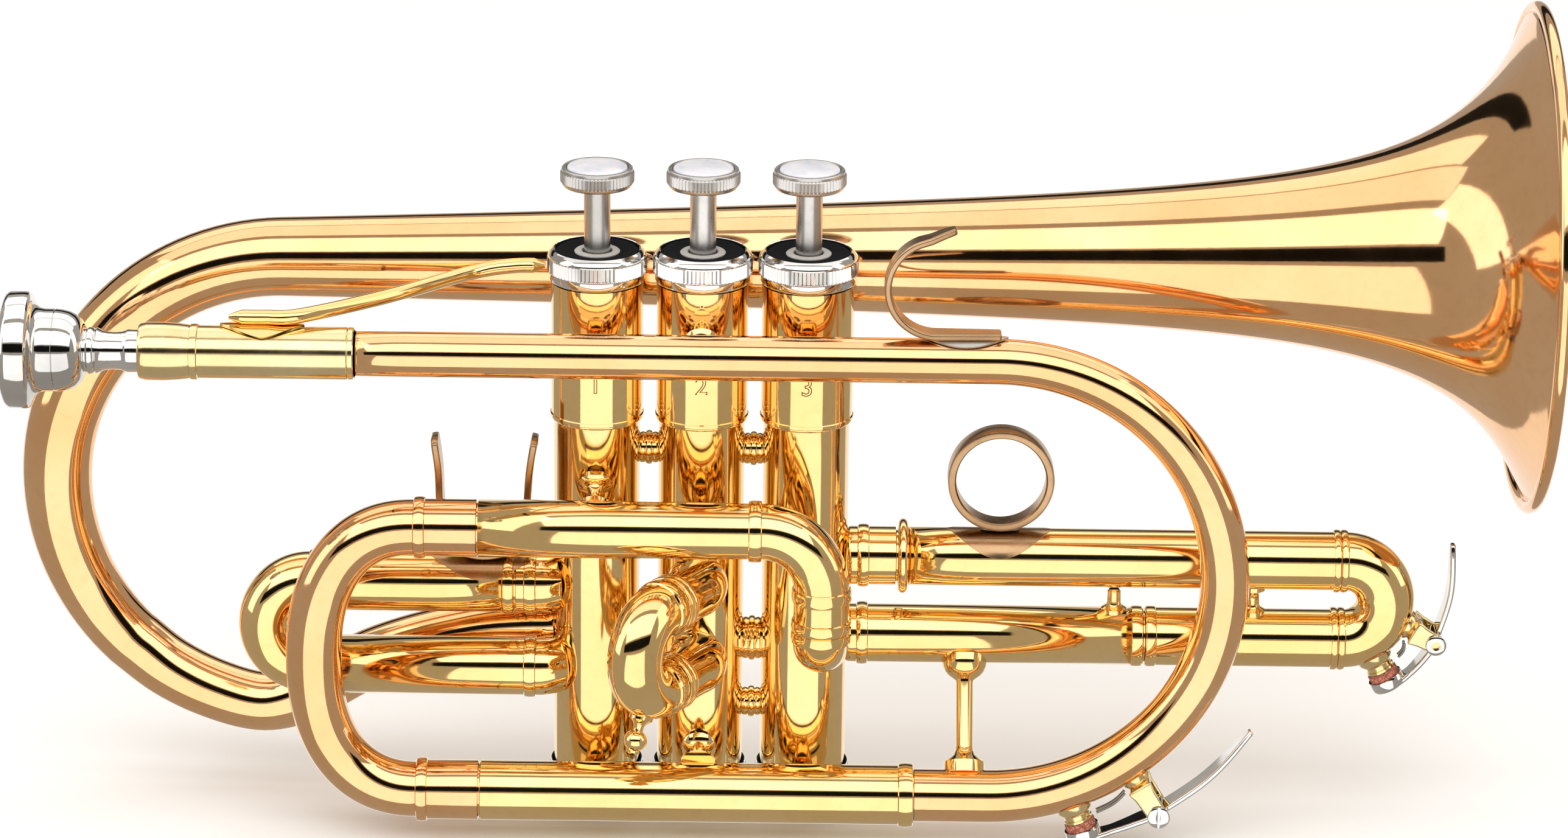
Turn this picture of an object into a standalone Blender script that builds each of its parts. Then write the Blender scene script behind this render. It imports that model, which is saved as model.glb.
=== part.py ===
"""B-flat cornet with three top-sprung piston valves, built as separate pieces.

All sizes are in millimetres and are turned into metres by MM.  The origin is on the middle
valve's axis, at the step ring of its casing.  +X points to the bell's mouth, +Y to the side that
the bell tube lies on and +Z up the valve stems.
"""

from math import cos, degrees, pi, radians, sin, tan

import bmesh
import bpy
from mathutils import Vector

MM = 0.001
GAP = 0.3  # clearance left between pieces that touch or are soldered together
WALL = 0.6  # wall of the drawn brass tubes
SHOULDER = 0.2  # length of the step where a tube changes radius
TURNED_SIDES = 16
TUBE_SIDES = 10

# Valve cluster
VALVE_SPACING = 24.06
VALVE_TRAVEL = 15.0
CASING_STEP_Z = 0.0
CASING_TOP_Z = 32.4
CASING_BOTTOM_Z = -84.9
PISTON_RADIUS = 8.5
PISTON_WALL = 1.0
CASING_WALL = 1.1
CASING_LOWER_RADIUS = PISTON_RADIUS + GAP + CASING_WALL
CASING_STEP = 0.6
CASING_UPPER_RADIUS = CASING_LOWER_RADIUS + CASING_STEP
PISTON_TOP_Z = -19.0
PISTON_BOTTOM_Z = -67.5
PORT_RADIUS = 5.2
PORT_WALL = 0.6
BARREL_WALL = 0.9
BARREL_RADIUS = PISTON_RADIUS - BARREL_WALL
BARREL_TOP_Z = 29.0
STEM_RADIUS = 3.0
STEM_HOLE = STEM_RADIUS + GAP + 0.2
BUTTON_RADIUS = 8.4
BUTTON_HEIGHT = 4.5
PEARL_RADIUS = BUTTON_RADIUS - 1.5
PEARL_RECESS = 1.2
CAP_RADIUS = CASING_UPPER_RADIUS + 0.9
CAP_HEIGHT = 7.6
CAP_WALL = 1.6
CAP_NECK = 3.6
CAP_PLATE = 1.7
FELT_RADIUS = CAP_RADIUS - 1.9
FELT_THICKNESS = 1.4
BOTTOM_CAP_RADIUS = CASING_LOWER_RADIUS + 1.0
BOTTOM_CAP_HEIGHT = 7.1
GUIDE_HEIGHT = 3.0
GUIDE_WIDTH = 3.2
SPRING_TURNS = 4
SPRING_WIRE = 0.5

# Bell
BELL_Y = 24.0
BELL_Z = 30.7
BELL_TILT = 0.72
RIM_X = 192.6
RIM_RADIUS = 59.5
RIM_BEAD = 1.6
BELL_SPLIT_X = -36.0
CROOK_X = -97.2
CROOK_RADIUS = 54.4
CROOK_STEPS = 10
TAIL_TUBE_RADIUS = 6.4

# Mouthpiece and its receiver
LEADPIPE_Y = -21.0
LEADPIPE_Z = 20.9
MOUTHPIECE_X = -156.8
MOUTHPIECE_RADIUS = 13.25
MOUTHPIECE_LENGTH = 54.0
SHANK_RADIUS = 4.9
LEADPIPE_RADIUS = 5.15
RECEIVER_WALL = 0.65
RECEIVER_RADIUS = LEADPIPE_RADIUS + GAP + RECEIVER_WALL
RECEIVER_MOUTH_X = -126.4
RECEIVER_END_X = -77.9
LEADPIPE_INSERT = 7.0

# Leadpipe, front bow and tuning slide
BOW_TUBE_RADIUS = 6.1
BOW_X = 67.0
BOW_RADIUS = 52.9
LOWER_SLEEVE_RADIUS = 6.9
LOWER_SLEEVE_END_X = 49.6
UPPER_SLEEVE_RADIUS = 6.6
UPPER_LEG_Z = -20.5
ENTRY_RADIUS = 14.0
ENTRY_X = VALVE_SPACING + 3.94
ENTRY_Z = -50.5
UPPER_SLEEVE_END_X = ENTRY_X - ENTRY_RADIUS - 0.1
SLEEVE_START_X = -50.2
TUNING_FERRULE_X = -64.7
TUNING_BOW_DEPTH = 23.5
TUNING_BOW_TUBE = 6.4
TUNING_BOW_POWER = 2 / 2.3
TUNING_LEG_INSERT = 40.0

# Valve slides: legs on the casings, with lengths from the valve's own axis
FIRST_UPPER = (-3.5, -40.3)
FIRST_LOWER = (-6.0, -59.9)
FIRST_BOW_X = -VALVE_SPACING - 66.14
FIRST_SLEEVE_END_X = -VALVE_SPACING - 18.84
FIRST_LOWER_END_X = -VALVE_SPACING - 59.94
FIRST_LEG_INSERT = 28.0
THUMB_SADDLE_X = -VALVE_SPACING - 25.94
THUMB_SADDLE_WIDTH = 8.0
SLIDE_RADIUS = 6.8
SECOND_UPPER_Z = -36.6
SECOND_LOWER_Z = -55.6
SECOND_ANGLE = 31.0
SECOND_OFFSET = 7.9
SECOND_RADIUS = 6.3
SECOND_SLEEVE_END = 27.0
SECOND_BOW_START = 31.0
THIRD_UPPER_Z = -33.7
THIRD_LOWER_Z = -52.9
THIRD_BOW_X = VALVE_SPACING + 125.34
THIRD_RING_X = VALVE_SPACING + 21.54
THIRD_LOWER_END_X = VALVE_SPACING + 78.84
THIRD_UPPER_INSERT = 60.0
THIRD_LOWER_INSERT = 38.0
STOP_RING_RADIUS = SLIDE_RADIUS + 1.9
STOP_RING_WIDTH = 2.4

# Finger pieces and stays
FINGER_RING_X = VALVE_SPACING + 45.04
FINGER_RING_RADIUS = 12.3
FINGER_RING_WALL = 1.9
FINGER_RING_WIDTH = 6.0
KNUCKLE_Z = -7.8
KNUCKLE_RADIUS = 4.0
PORT_TUBE_Z = -54.5
PORT_TUBE_RADIUS = 5.3
STAY_X = BOW_X - 5.4
STAY_RADIUS = 1.95
STRIP_THICKNESS = 1.6

# Water keys, as polar places about the centre of the bow that each sits on: the angles of the
# cork, the post, the pivot and the tip of the lever
LOWER_KEY_ANGLES = (-70, -54.5, -54.77, -30.72)
UPPER_KEY_ANGLES = (-61, -21.5, -23.49, 29.9)
KEY_PIN_RADIUS = 1.0
KEY_BARREL_RADIUS = 2.3
KEY_WIDTH = 6.0
CORK_RADIUS = 3.6
CORK_THICKNESS = 3.0
KEY_WIRE = 0.4

CORK_SEAT = 3.2

PARTS = "cornet"
CUTTERS = "cutters"


def reset_scene():
    for obj in list(bpy.data.objects):
        bpy.data.objects.remove(obj, do_unlink=True)
    for name in (PARTS, CUTTERS):
        collection = bpy.data.collections.new(name)
        bpy.context.scene.collection.children.link(collection)
    bpy.data.collections[CUTTERS].hide_render = True


def material(name, colour, roughness, metallic):
    found = bpy.data.materials.get(name)
    if found:
        return found
    made = bpy.data.materials.new(name)
    made.use_nodes = True
    shader = made.node_tree.nodes["Principled BSDF"]
    shader.inputs["Base Color"].default_value = (*colour, 1.0)
    shader.inputs["Roughness"].default_value = roughness
    shader.inputs["Metallic"].default_value = metallic
    return made


def gold_brass():
    return material("gold_brass", (0.86, 0.52, 0.24), 0.12, 1.0)


def yellow_brass():
    return material("yellow_brass", (0.90, 0.68, 0.26), 0.12, 1.0)


def silver_plate():
    return material("silver_plate", (0.80, 0.80, 0.80), 0.15, 1.0)


def nickel_silver():
    return material("nickel_silver", (0.62, 0.53, 0.42), 0.22, 1.0)


def monel():
    return material("monel", (0.55, 0.54, 0.52), 0.25, 1.0)


def spring_steel():
    return material("spring_steel", (0.45, 0.44, 0.42), 0.3, 1.0)


def pearl():
    return material("pearl", (0.86, 0.86, 0.88), 0.25, 0.0)


def black_felt():
    return material("black_felt", (0.01, 0.01, 0.012), 0.95, 0.0)


def cork():
    return material("cork", (0.62, 0.30, 0.22), 0.85, 0.0)


def nylon():
    return material("nylon", (0.82, 0.80, 0.72), 0.5, 0.0)


def place(obj, surface, helper=False):
    """Put an object in its collection with its material; a helper is only used by Booleans."""
    for collection in list(obj.users_collection):
        collection.objects.unlink(obj)
    bpy.data.collections[CUTTERS if helper else PARTS].objects.link(obj)
    if helper:
        obj.hide_render = True
        obj.display_type = "WIRE"
    if surface and not obj.data.materials:
        obj.data.materials.append(surface)
    return obj


def point_along(obj, direction):
    """Turn an object's local Z onto a direction."""
    obj.rotation_mode = "QUATERNION"
    obj.rotation_quaternion = Vector((0, 0, 1)).rotation_difference(Vector(direction).normalized())


def turned(name, profile, surface, origin=(0, 0, 0), direction=(0, 0, 1), closed=False,
           sides=TURNED_SIDES, helper=False):
    """A lathe shape from (radius, height) points that run down the outer side."""
    mesh = bpy.data.meshes.new(name)
    count = len(profile)
    edges = [(i, i + 1) for i in range(count - 1)]
    if closed:
        edges.append((count - 1, 0))
    mesh.from_pydata([(r * MM, 0, z * MM) for r, z in profile], edges, [])
    obj = bpy.data.objects.new(name, mesh)
    obj.location = Vector(origin) * MM
    point_along(obj, direction)
    screw = obj.modifiers.new("turn", "SCREW")
    screw.steps = sides
    screw.render_steps = sides
    screw.use_merge_vertices = True
    screw.merge_threshold = 0.00001
    screw.use_smooth_shade = True
    return place(obj, surface, helper)


def tube_curve(name, stations, surface, sides=TUBE_SIDES, capped=False, helper=False):
    """A round tube through (point, radius) stations, as a poly curve with a bevel."""
    data = bpy.data.curves.new(name, "CURVE")
    data.dimensions = "3D"
    data.bevel_depth = MM
    data.bevel_resolution = (sides - 4) // 2
    data.use_fill_caps = capped
    data.render_resolution_u = 0
    spline = data.splines.new("POLY")
    spline.points.add(len(stations) - 1)
    for target, (point, radius) in zip(spline.points, stations):
        target.co = (*(Vector(point) * MM), 1)
        target.radius = radius
    return place(bpy.data.objects.new(name, data), surface, helper)


def pipe(name, stations, surface, wall=WALL, sides=TUBE_SIDES):
    """A hollow tube that is open at both ends."""
    obj = tube_curve(name, stations, surface, sides)
    shell = obj.modifiers.new("wall", "SOLIDIFY")
    shell.thickness = wall * MM
    shell.offset = -1
    return obj


def rod(name, points, radius, surface, sides=8, helper=False):
    stations = [(point, radius) for point in points]
    return tube_curve(name, stations, surface, sides, True, helper)


def ribbon(name, path, thickness, width, surface, y, helper=False):
    """A strip that follows (x, z) points, thin across the path and wide along Y."""
    left = []
    right = []
    for i, (x, z) in enumerate(path):
        ahead = Vector(path[min(i + 1, len(path) - 1)]) - Vector((x, z))
        behind = Vector((x, z)) - Vector(path[max(i - 1, 0)])
        tangent = (ahead.normalized() + behind.normalized()).normalized()
        across = Vector((-tangent.y, tangent.x)) * thickness / 2
        left.append((x + across.x, z + across.y))
        right.append((x - across.x, z - across.y))
    return plate(name, left + right[::-1], width, surface, y, helper)


def plate(name, outline, width, surface, y, helper=False):
    """A flat outline in the XZ plane with its thickness along Y."""
    data = bpy.data.curves.new(name, "CURVE")
    data.dimensions = "2D"
    data.fill_mode = "BOTH"
    data.extrude = width / 2 * MM
    data.render_resolution_u = 0
    spline = data.splines.new("POLY")
    spline.points.add(len(outline) - 1)
    for target, (x, z) in zip(spline.points, outline):
        target.co = (x * MM, z * MM, 0, 1)
    spline.use_cyclic_u = True
    obj = bpy.data.objects.new(name, data)
    obj.rotation_euler = (pi / 2, 0, 0)
    obj.location = (0, y * MM, 0)
    return place(obj, surface, helper)


def block(name, low, high, surface, helper=False):
    """A box between two corners."""
    mesh = bpy.data.meshes.new(name)
    cage = bmesh.new()
    bmesh.ops.create_cube(cage, size=1)
    for vert in cage.verts:
        vert.co = [(a + (b - a) * (c + 0.5)) * MM for a, b, c in zip(low, high, vert.co)]
    cage.to_mesh(mesh)
    cage.free()
    return place(bpy.data.objects.new(name, mesh), surface, helper)


def solid_mesh(obj):
    """Swap an object for a mesh of its evaluated shape, with its caps welded."""
    bpy.context.view_layer.update()
    graph = bpy.context.evaluated_depsgraph_get()
    mesh = bpy.data.meshes.new_from_object(obj.evaluated_get(graph))
    weld = bmesh.new()
    weld.from_mesh(mesh)
    bmesh.ops.remove_doubles(weld, verts=weld.verts, dist=0.000002)
    bmesh.ops.recalc_face_normals(weld, faces=weld.faces)
    weld.to_mesh(mesh)
    weld.free()
    made = bpy.data.objects.new(obj.name + "_solid", mesh)
    made.matrix_world = obj.matrix_world
    surface = obj.data.materials[0] if obj.data.materials else None
    helper = obj.hide_render
    name = obj.name
    bpy.data.objects.remove(obj, do_unlink=True)
    made.name = name
    return place(made, surface, helper)


def combine(target, other, operation="UNION"):
    """Join another piece to this one, or cut it away; the other becomes a helper."""
    if other.type == "CURVE" or other.modifiers:
        other = solid_mesh(other)
    place(other, None, True)
    change = target.modifiers.new(other.name, "BOOLEAN")
    change.operation = operation
    change.solver = "EXACT"
    change.object = other
    return target


def join(name, pieces, cuts=()):
    """One solid from several overlapping ones, less some cutters."""
    first = solid_mesh(pieces[0])
    for piece in pieces[1:]:
        combine(first, piece)
    for cut in cuts:
        combine(first, cut, "DIFFERENCE")
    first.name = name
    return first


def apothem(radius, sides):
    return radius * cos(pi / sides)


def leg_radius(sleeve_radius):
    """The inner slide tube that runs in a sleeve of this outer radius."""
    return apothem(sleeve_radius - WALL, TUBE_SIDES) - GAP


def arc(centre, across, up, radius, start, end, steps):
    """Points on a circle; angles in degrees from the across direction towards up."""
    centre = Vector(centre)
    across = Vector(across).normalized()
    up = Vector(up).normalized()
    turns = [radians(start + (end - start) * i / steps) for i in range(steps + 1)]
    return [centre + across * radius * cos(a) + up * radius * sin(a) for a in turns]


def polar(centre, radius, degrees):
    """(x, z) at a polar place about a centre in the XZ plane."""
    return (centre[0] + radius * cos(radians(degrees)), centre[1] + radius * sin(radians(degrees)))


def valve_x(number):
    return (number - 2) * VALVE_SPACING


def bell_axis(x):
    return Vector((x, BELL_Y, BELL_Z + x * tan(radians(BELL_TILT))))


def bell_radius(x):
    """Outer radius: a slow cone plus a flare that grows like a power towards the rim."""
    return 9.54 + 0.0178 * x + 11757 * (221.1 - x) ** -1.652


def make_bell():
    rim_start = RIM_X - RIM_BEAD
    cone_end = 120
    cone_steps = [BELL_SPLIT_X + (cone_end - BELL_SPLIT_X) * i / 3 for i in range(4)]
    flare_steps = [cone_end + (rim_start - cone_end) * sin(pi / 2 * i / 7) for i in range(1, 8)]
    stations = [(bell_axis(x), bell_radius(x)) for x in cone_steps + flare_steps[:-1]]
    stations.append((bell_axis(rim_start), RIM_RADIUS - RIM_BEAD))
    stations.append((bell_axis(RIM_X - RIM_BEAD / 2), RIM_RADIUS))
    stations.append((bell_axis(RIM_X), RIM_RADIUS - RIM_BEAD / 2))
    pipe("bell_flare", stations, gold_brass(), WALL, 20)

    start = bell_axis(CROOK_X)
    centre = start - Vector((0, 0, CROOK_RADIUS))
    half_turn = arc(centre, (1, 0, 0), (0, 0, 1), CROOK_RADIUS, 90 + BELL_TILT, 262,
                    CROOK_STEPS)
    stations = [(bell_axis(BELL_SPLIT_X - GAP), bell_radius(BELL_SPLIT_X))]
    for i, point in enumerate(half_turn):
        share = i / CROOK_STEPS
        point.y = BELL_Y - 7.0 * share ** 2
        stations.append((point, bell_radius(CROOK_X) * (1 - share) + TAIL_TUBE_RADIUS * share))
    end = Vector((valve_x(1) - CASING_LOWER_RADIUS - 1.44,
                  FIRST_LOWER[0] + SLIDE_RADIUS + TAIL_TUBE_RADIUS - 0.7, ENTRY_Z - 3.6))
    rise = [(-96.0, 16.2, -77.2), (-88.0, 15.2, -72.6), (-78.0, 13.5, -66.2),
            (-66.0, 11.1, -60.9), (-52.0, 8.8, -56.7)]
    stations += [(Vector(point), TAIL_TUBE_RADIUS) for point in rise]
    stations.append((end, TAIL_TUBE_RADIUS))
    pipe("bell_crook", stations, gold_brass())


def make_mouthpiece():
    """Rim up the lathe axis; height 0 is the rim face."""
    length = MOUTHPIECE_LENGTH
    outer = [(10.2, 0), (12.4, -0.5), (MOUTHPIECE_RADIUS, -1.8), (MOUTHPIECE_RADIUS, -5.6),
             (12.2, -6.6), (10.0, -8.0), (9.4, -12.0), (8.6, -15.0), (6.2, -18.5), (4.9, -20.0),
             (4.2, -25.0), (SHANK_RADIUS, -28.0), (SHANK_RADIUS - 0.5, -length)]
    inner = [(3.8, -length), (1.9, -24.0), (2.2, -20.0), (5.6, -13.0), (7.9, -4.0), (8.6, -0.8)]
    turned("mouthpiece", outer + inner, silver_plate(),
           (MOUTHPIECE_X, LEADPIPE_Y, LEADPIPE_Z), (-1, 0, 0), True)


def make_receiver():
    length = RECEIVER_END_X - RECEIVER_MOUTH_X
    bore = (SHANK_RADIUS + GAP) / cos(pi / TURNED_SIDES)
    socket = (LEADPIPE_RADIUS + GAP) / cos(pi / TURNED_SIDES)
    stop = LEADPIPE_INSERT + 2
    swell = RECEIVER_RADIUS + 0.5
    bead = RECEIVER_RADIUS + 0.25
    ring = 12.5
    outer = [(RECEIVER_RADIUS, 0), (swell, -1.2), (swell, -8.0), (RECEIVER_RADIUS, -ring + 1),
             (bead, -ring), (bead, -ring - 1), (RECEIVER_RADIUS, -ring - 2),
             (RECEIVER_RADIUS, -length)]
    inner = [(socket, -length), (socket, -length + stop), (bore - 0.5, -length + stop + 1),
             (bore, 0)]
    turned("mouthpiece_receiver", outer + inner, yellow_brass(),
           (RECEIVER_MOUTH_X, LEADPIPE_Y, LEADPIPE_Z), (-1, 0, 0), True)


def lower_leg_z():
    return LEADPIPE_Z - 2 * BOW_RADIUS


def make_leadpipe():
    y = LEADPIPE_Y
    bow_centre = (BOW_X, y, LEADPIPE_Z - BOW_RADIUS)
    stations = [((RECEIVER_END_X - LEADPIPE_INSERT, y, LEADPIPE_Z), LEADPIPE_RADIUS)]
    steps = 14
    for i, point in enumerate(arc(bow_centre, (1, 0, 0), (0, 0, 1), BOW_RADIUS, 90, -90, steps)):
        taper = (BOW_TUBE_RADIUS - LEADPIPE_RADIUS) * i / steps
        stations.append((point, LEADPIPE_RADIUS + taper))
    inserted = leg_radius(LOWER_SLEEVE_RADIUS)
    low = lower_leg_z()
    stations.append(((LOWER_SLEEVE_END_X + GAP + SHOULDER, y, low), BOW_TUBE_RADIUS))
    stations.append(((LOWER_SLEEVE_END_X + GAP, y, low), inserted))
    stations.append(((LOWER_SLEEVE_END_X - 6, y, low), inserted))
    pipe("leadpipe", stations, gold_brass())


def sleeve_stations(start, end, y, z, radius):
    return [((start, y, z), radius), ((end, y, z), radius)]


def make_main_sleeves():
    y = LEADPIPE_Y
    low = lower_leg_z()
    pipe("lower_outer_sleeve",
         sleeve_stations(SLEEVE_START_X, LOWER_SLEEVE_END_X, y, low, LOWER_SLEEVE_RADIUS),
         yellow_brass())
    stations = sleeve_stations(SLEEVE_START_X, UPPER_SLEEVE_END_X, y, UPPER_LEG_Z,
                               UPPER_SLEEVE_RADIUS)
    down = arc((ENTRY_X - ENTRY_RADIUS, y, UPPER_LEG_Z - ENTRY_RADIUS), (1, 0, 0), (0, 0, 1),
               ENTRY_RADIUS, 72, 0, 4)
    turn = UPPER_SLEEVE_RADIUS + 1.5
    back = arc((ENTRY_X, y + turn, ENTRY_Z + turn), (0, -1, 0), (0, 0, -1), turn, 0, 90, 4)
    stations += [(point, UPPER_SLEEVE_RADIUS - 0.2) for point in down + back]
    stations.append(((ENTRY_X - 1, -CASING_LOWER_RADIUS - GAP - 0.2, ENTRY_Z),
                     UPPER_SLEEVE_RADIUS - 0.2))
    pipe("upper_outer_sleeve", stations, yellow_brass())


def make_tuning_slide():
    """Both legs reach into the sleeves; the bow lies between an ellipse and a rounded D."""
    y = LEADPIPE_Y
    low = lower_leg_z()
    half = (UPPER_LEG_Z - low) / 2
    middle = (UPPER_LEG_Z + low) / 2
    ferrule = SLEEVE_START_X - GAP
    inserted = SLEEVE_START_X + TUNING_LEG_INSERT
    upper_leg = leg_radius(UPPER_SLEEVE_RADIUS)
    lower_leg = leg_radius(LOWER_SLEEVE_RADIUS)
    stations = [((inserted, y, UPPER_LEG_Z), upper_leg), ((ferrule, y, UPPER_LEG_Z), upper_leg),
                ((ferrule - SHOULDER, y, UPPER_LEG_Z), UPPER_SLEEVE_RADIUS),
                ((TUNING_FERRULE_X, y, UPPER_LEG_Z), UPPER_SLEEVE_RADIUS)]
    steps = 12
    for i in range(1, steps):
        angle = pi / 2 - pi * i / steps
        x = TUNING_FERRULE_X - TUNING_BOW_DEPTH * cos(angle) ** TUNING_BOW_POWER
        side = 1 if angle > 0 else -1
        z = middle + side * half * abs(sin(angle)) ** TUNING_BOW_POWER
        stations.append(((x, y, z), TUNING_BOW_TUBE))
    stations += [((TUNING_FERRULE_X, y, low), LOWER_SLEEVE_RADIUS),
                 ((ferrule - SHOULDER, y, low), LOWER_SLEEVE_RADIUS),
                 ((ferrule, y, low), lower_leg), ((inserted, y, low), lower_leg)]
    pipe("main_tuning_slide", stations, gold_brass())


def slide_bow(name, upper_run, lower_run, centre, out, up, radius):
    """A U of tube: stations up to the bow, a half turn, and stations back."""
    bend = arc(centre, up, out, radius, 0, 180, 7)
    tube = upper_run[-1][1]
    return pipe(name, upper_run[:-1] + [(point, tube) for point in bend] + lower_run[1:],
                yellow_brass())


def make_first_slide():
    (y1, z1), (y2, z2) = FIRST_UPPER, FIRST_LOWER
    root = valve_x(1) - CASING_LOWER_RADIUS - GAP - 0.1
    shoulder = GAP + SHOULDER
    inner = leg_radius(SLIDE_RADIUS)
    end = FIRST_SLEEVE_END_X
    pipe("first_slide_upper_tube",
         [((root, y1, z1), SLIDE_RADIUS), ((end + shoulder, y1, z1), SLIDE_RADIUS),
          ((end + GAP, y1, z1), inner), ((FIRST_BOW_X + 8, y1, z1), inner)], yellow_brass())
    pipe("first_slide_lower_sleeve",
         sleeve_stations(root, FIRST_LOWER_END_X, y2, z2, SLIDE_RADIUS), yellow_brass())
    up = Vector((0, y1 - y2, z1 - z2))
    upper_run = [((end, y1, z1), SLIDE_RADIUS), ((FIRST_BOW_X, y1, z1), SLIDE_RADIUS)]
    lower_run = [((FIRST_BOW_X, y2, z2), SLIDE_RADIUS),
                 ((FIRST_LOWER_END_X - shoulder, y2, z2), SLIDE_RADIUS),
                 ((FIRST_LOWER_END_X - GAP, y2, z2), inner),
                 ((FIRST_LOWER_END_X + FIRST_LEG_INSERT, y2, z2), inner)]
    centre = (FIRST_BOW_X, (y1 + y2) / 2, (z1 + z2) / 2)
    slide_bow("first_slide_bow", upper_run, lower_run, centre, (-1, 0, 0), up, up.length / 2)

    foot = z1 + SLIDE_RADIUS + GAP + STRIP_THICKNESS / 2
    prong = [(-11.2, 28), (-10.2, 20), (-9.6, 9), (-6.5, 2), (-2.5, 0), (2.5, 0), (7.0, 2),
             (9.6, 9), (10.6, 20), (12.0, 28)]
    path = [(THUMB_SADDLE_X + x, foot + rise) for x, rise in prong]
    ribbon("thumb_saddle", path, STRIP_THICKNESS, THUMB_SADDLE_WIDTH, nickel_silver(), y1)


def second_axis():
    return Vector((-sin(radians(SECOND_ANGLE)), -cos(radians(SECOND_ANGLE)), 0))


def make_second_slide():
    out = second_axis()
    side = Vector((-out.y, out.x, 0)) * SECOND_OFFSET
    inner = leg_radius(SECOND_RADIUS)
    start = CASING_LOWER_RADIUS + GAP + 0.2

    def at(distance, z):
        return side + out * distance + Vector((0, 0, z))

    for name, z in (("second_slide_upper_sleeve", SECOND_UPPER_Z),
                    ("second_slide_lower_sleeve", SECOND_LOWER_Z)):
        pipe(name, [(at(start, z), SECOND_RADIUS), (at(SECOND_SLEEVE_END, z), SECOND_RADIUS)],
             yellow_brass())
    shoulder = SECOND_SLEEVE_END + GAP
    tip = start + 1.5
    upper_run = [(at(tip, SECOND_UPPER_Z), inner), (at(shoulder, SECOND_UPPER_Z), inner),
                 (at(shoulder + SHOULDER, SECOND_UPPER_Z), SECOND_RADIUS),
                 (at(SECOND_BOW_START, SECOND_UPPER_Z), SECOND_RADIUS)]
    lower_run = [(at(SECOND_BOW_START, SECOND_LOWER_Z), SECOND_RADIUS),
                 (at(shoulder + SHOULDER, SECOND_LOWER_Z), SECOND_RADIUS),
                 (at(shoulder, SECOND_LOWER_Z), inner), (at(tip, SECOND_LOWER_Z), inner)]
    centre = at(SECOND_BOW_START, (SECOND_UPPER_Z + SECOND_LOWER_Z) / 2)
    slide_bow("second_slide_bow", upper_run, lower_run, centre, out, (0, 0, 1),
              (SECOND_UPPER_Z - SECOND_LOWER_Z) / 2)


def make_third_slide():
    z1, z2 = THIRD_UPPER_Z, THIRD_LOWER_Z
    root = valve_x(3) + CASING_LOWER_RADIUS + GAP + 0.1
    inner = leg_radius(SLIDE_RADIUS)
    shoulder = THIRD_RING_X - GAP
    pipe("third_slide_upper_tube",
         [((root, 0, z1), SLIDE_RADIUS), ((shoulder - SHOULDER, 0, z1), SLIDE_RADIUS),
          ((shoulder, 0, z1), inner), ((shoulder + THIRD_UPPER_INSERT, 0, z1), inner)],
         yellow_brass())
    pipe("third_slide_lower_sleeve",
         sleeve_stations(root, THIRD_LOWER_END_X, 0, z2, SLIDE_RADIUS), yellow_brass())
    ring = THIRD_RING_X
    upper_run = [((ring, 0, z1), SLIDE_RADIUS), ((ring + 0.1, 0, z1), STOP_RING_RADIUS),
                 ((ring + STOP_RING_WIDTH, 0, z1), STOP_RING_RADIUS),
                 ((ring + STOP_RING_WIDTH + SHOULDER, 0, z1), SLIDE_RADIUS),
                 ((THIRD_BOW_X, 0, z1), SLIDE_RADIUS)]
    lower_run = [((THIRD_BOW_X, 0, z2), SLIDE_RADIUS),
                 ((THIRD_LOWER_END_X + GAP + SHOULDER, 0, z2), SLIDE_RADIUS),
                 ((THIRD_LOWER_END_X + GAP, 0, z2), inner),
                 ((THIRD_LOWER_END_X - THIRD_LOWER_INSERT, 0, z2), inner)]
    slide_bow("third_slide_bow", upper_run, lower_run, (THIRD_BOW_X, 0, (z1 + z2) / 2),
              (1, 0, 0), (0, 0, 1), (z1 - z2) / 2)

    radius, half = FINGER_RING_RADIUS, FINGER_RING_WIDTH / 2
    hole = radius - FINGER_RING_WALL
    turned("finger_ring", [(radius, half), (radius, -half), (hole, -half), (hole, half)],
           nickel_silver(), (FINGER_RING_X, 0, z1 + SLIDE_RADIUS + GAP + radius), (0, 1, 0), True,
           24)
    lower = Vector((STAY_X, 0, z2))
    loop = Vector((STAY_X, LEADPIPE_Y, lower_leg_z()))
    along = (loop - lower).normalized()
    rod("third_slide_stay",
        [lower + along * (SLIDE_RADIUS + GAP), loop - along * (BOW_TUBE_RADIUS + GAP)],
        STAY_RADIUS, yellow_brass())


def casing_bore():
    return (PISTON_RADIUS + GAP) / cos(pi / TURNED_SIDES)


def make_casing(number):
    bore = casing_bore()
    neck = CAP_RADIUS - CAP_WALL
    skirt = CASING_BOTTOM_Z - 3
    profile = [(neck, CASING_TOP_Z + CAP_NECK), (neck, CASING_TOP_Z),
               (CASING_UPPER_RADIUS, CASING_TOP_Z), (CASING_UPPER_RADIUS, CASING_STEP_Z),
               (CASING_LOWER_RADIUS, CASING_STEP_Z - CASING_STEP),
               (CASING_LOWER_RADIUS, skirt), (bore, skirt), (bore, CASING_TOP_Z + CAP_NECK)]
    turned(f"valve_casing_{number}", profile, yellow_brass(), (valve_x(number), 0, 0),
           closed=True)


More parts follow.
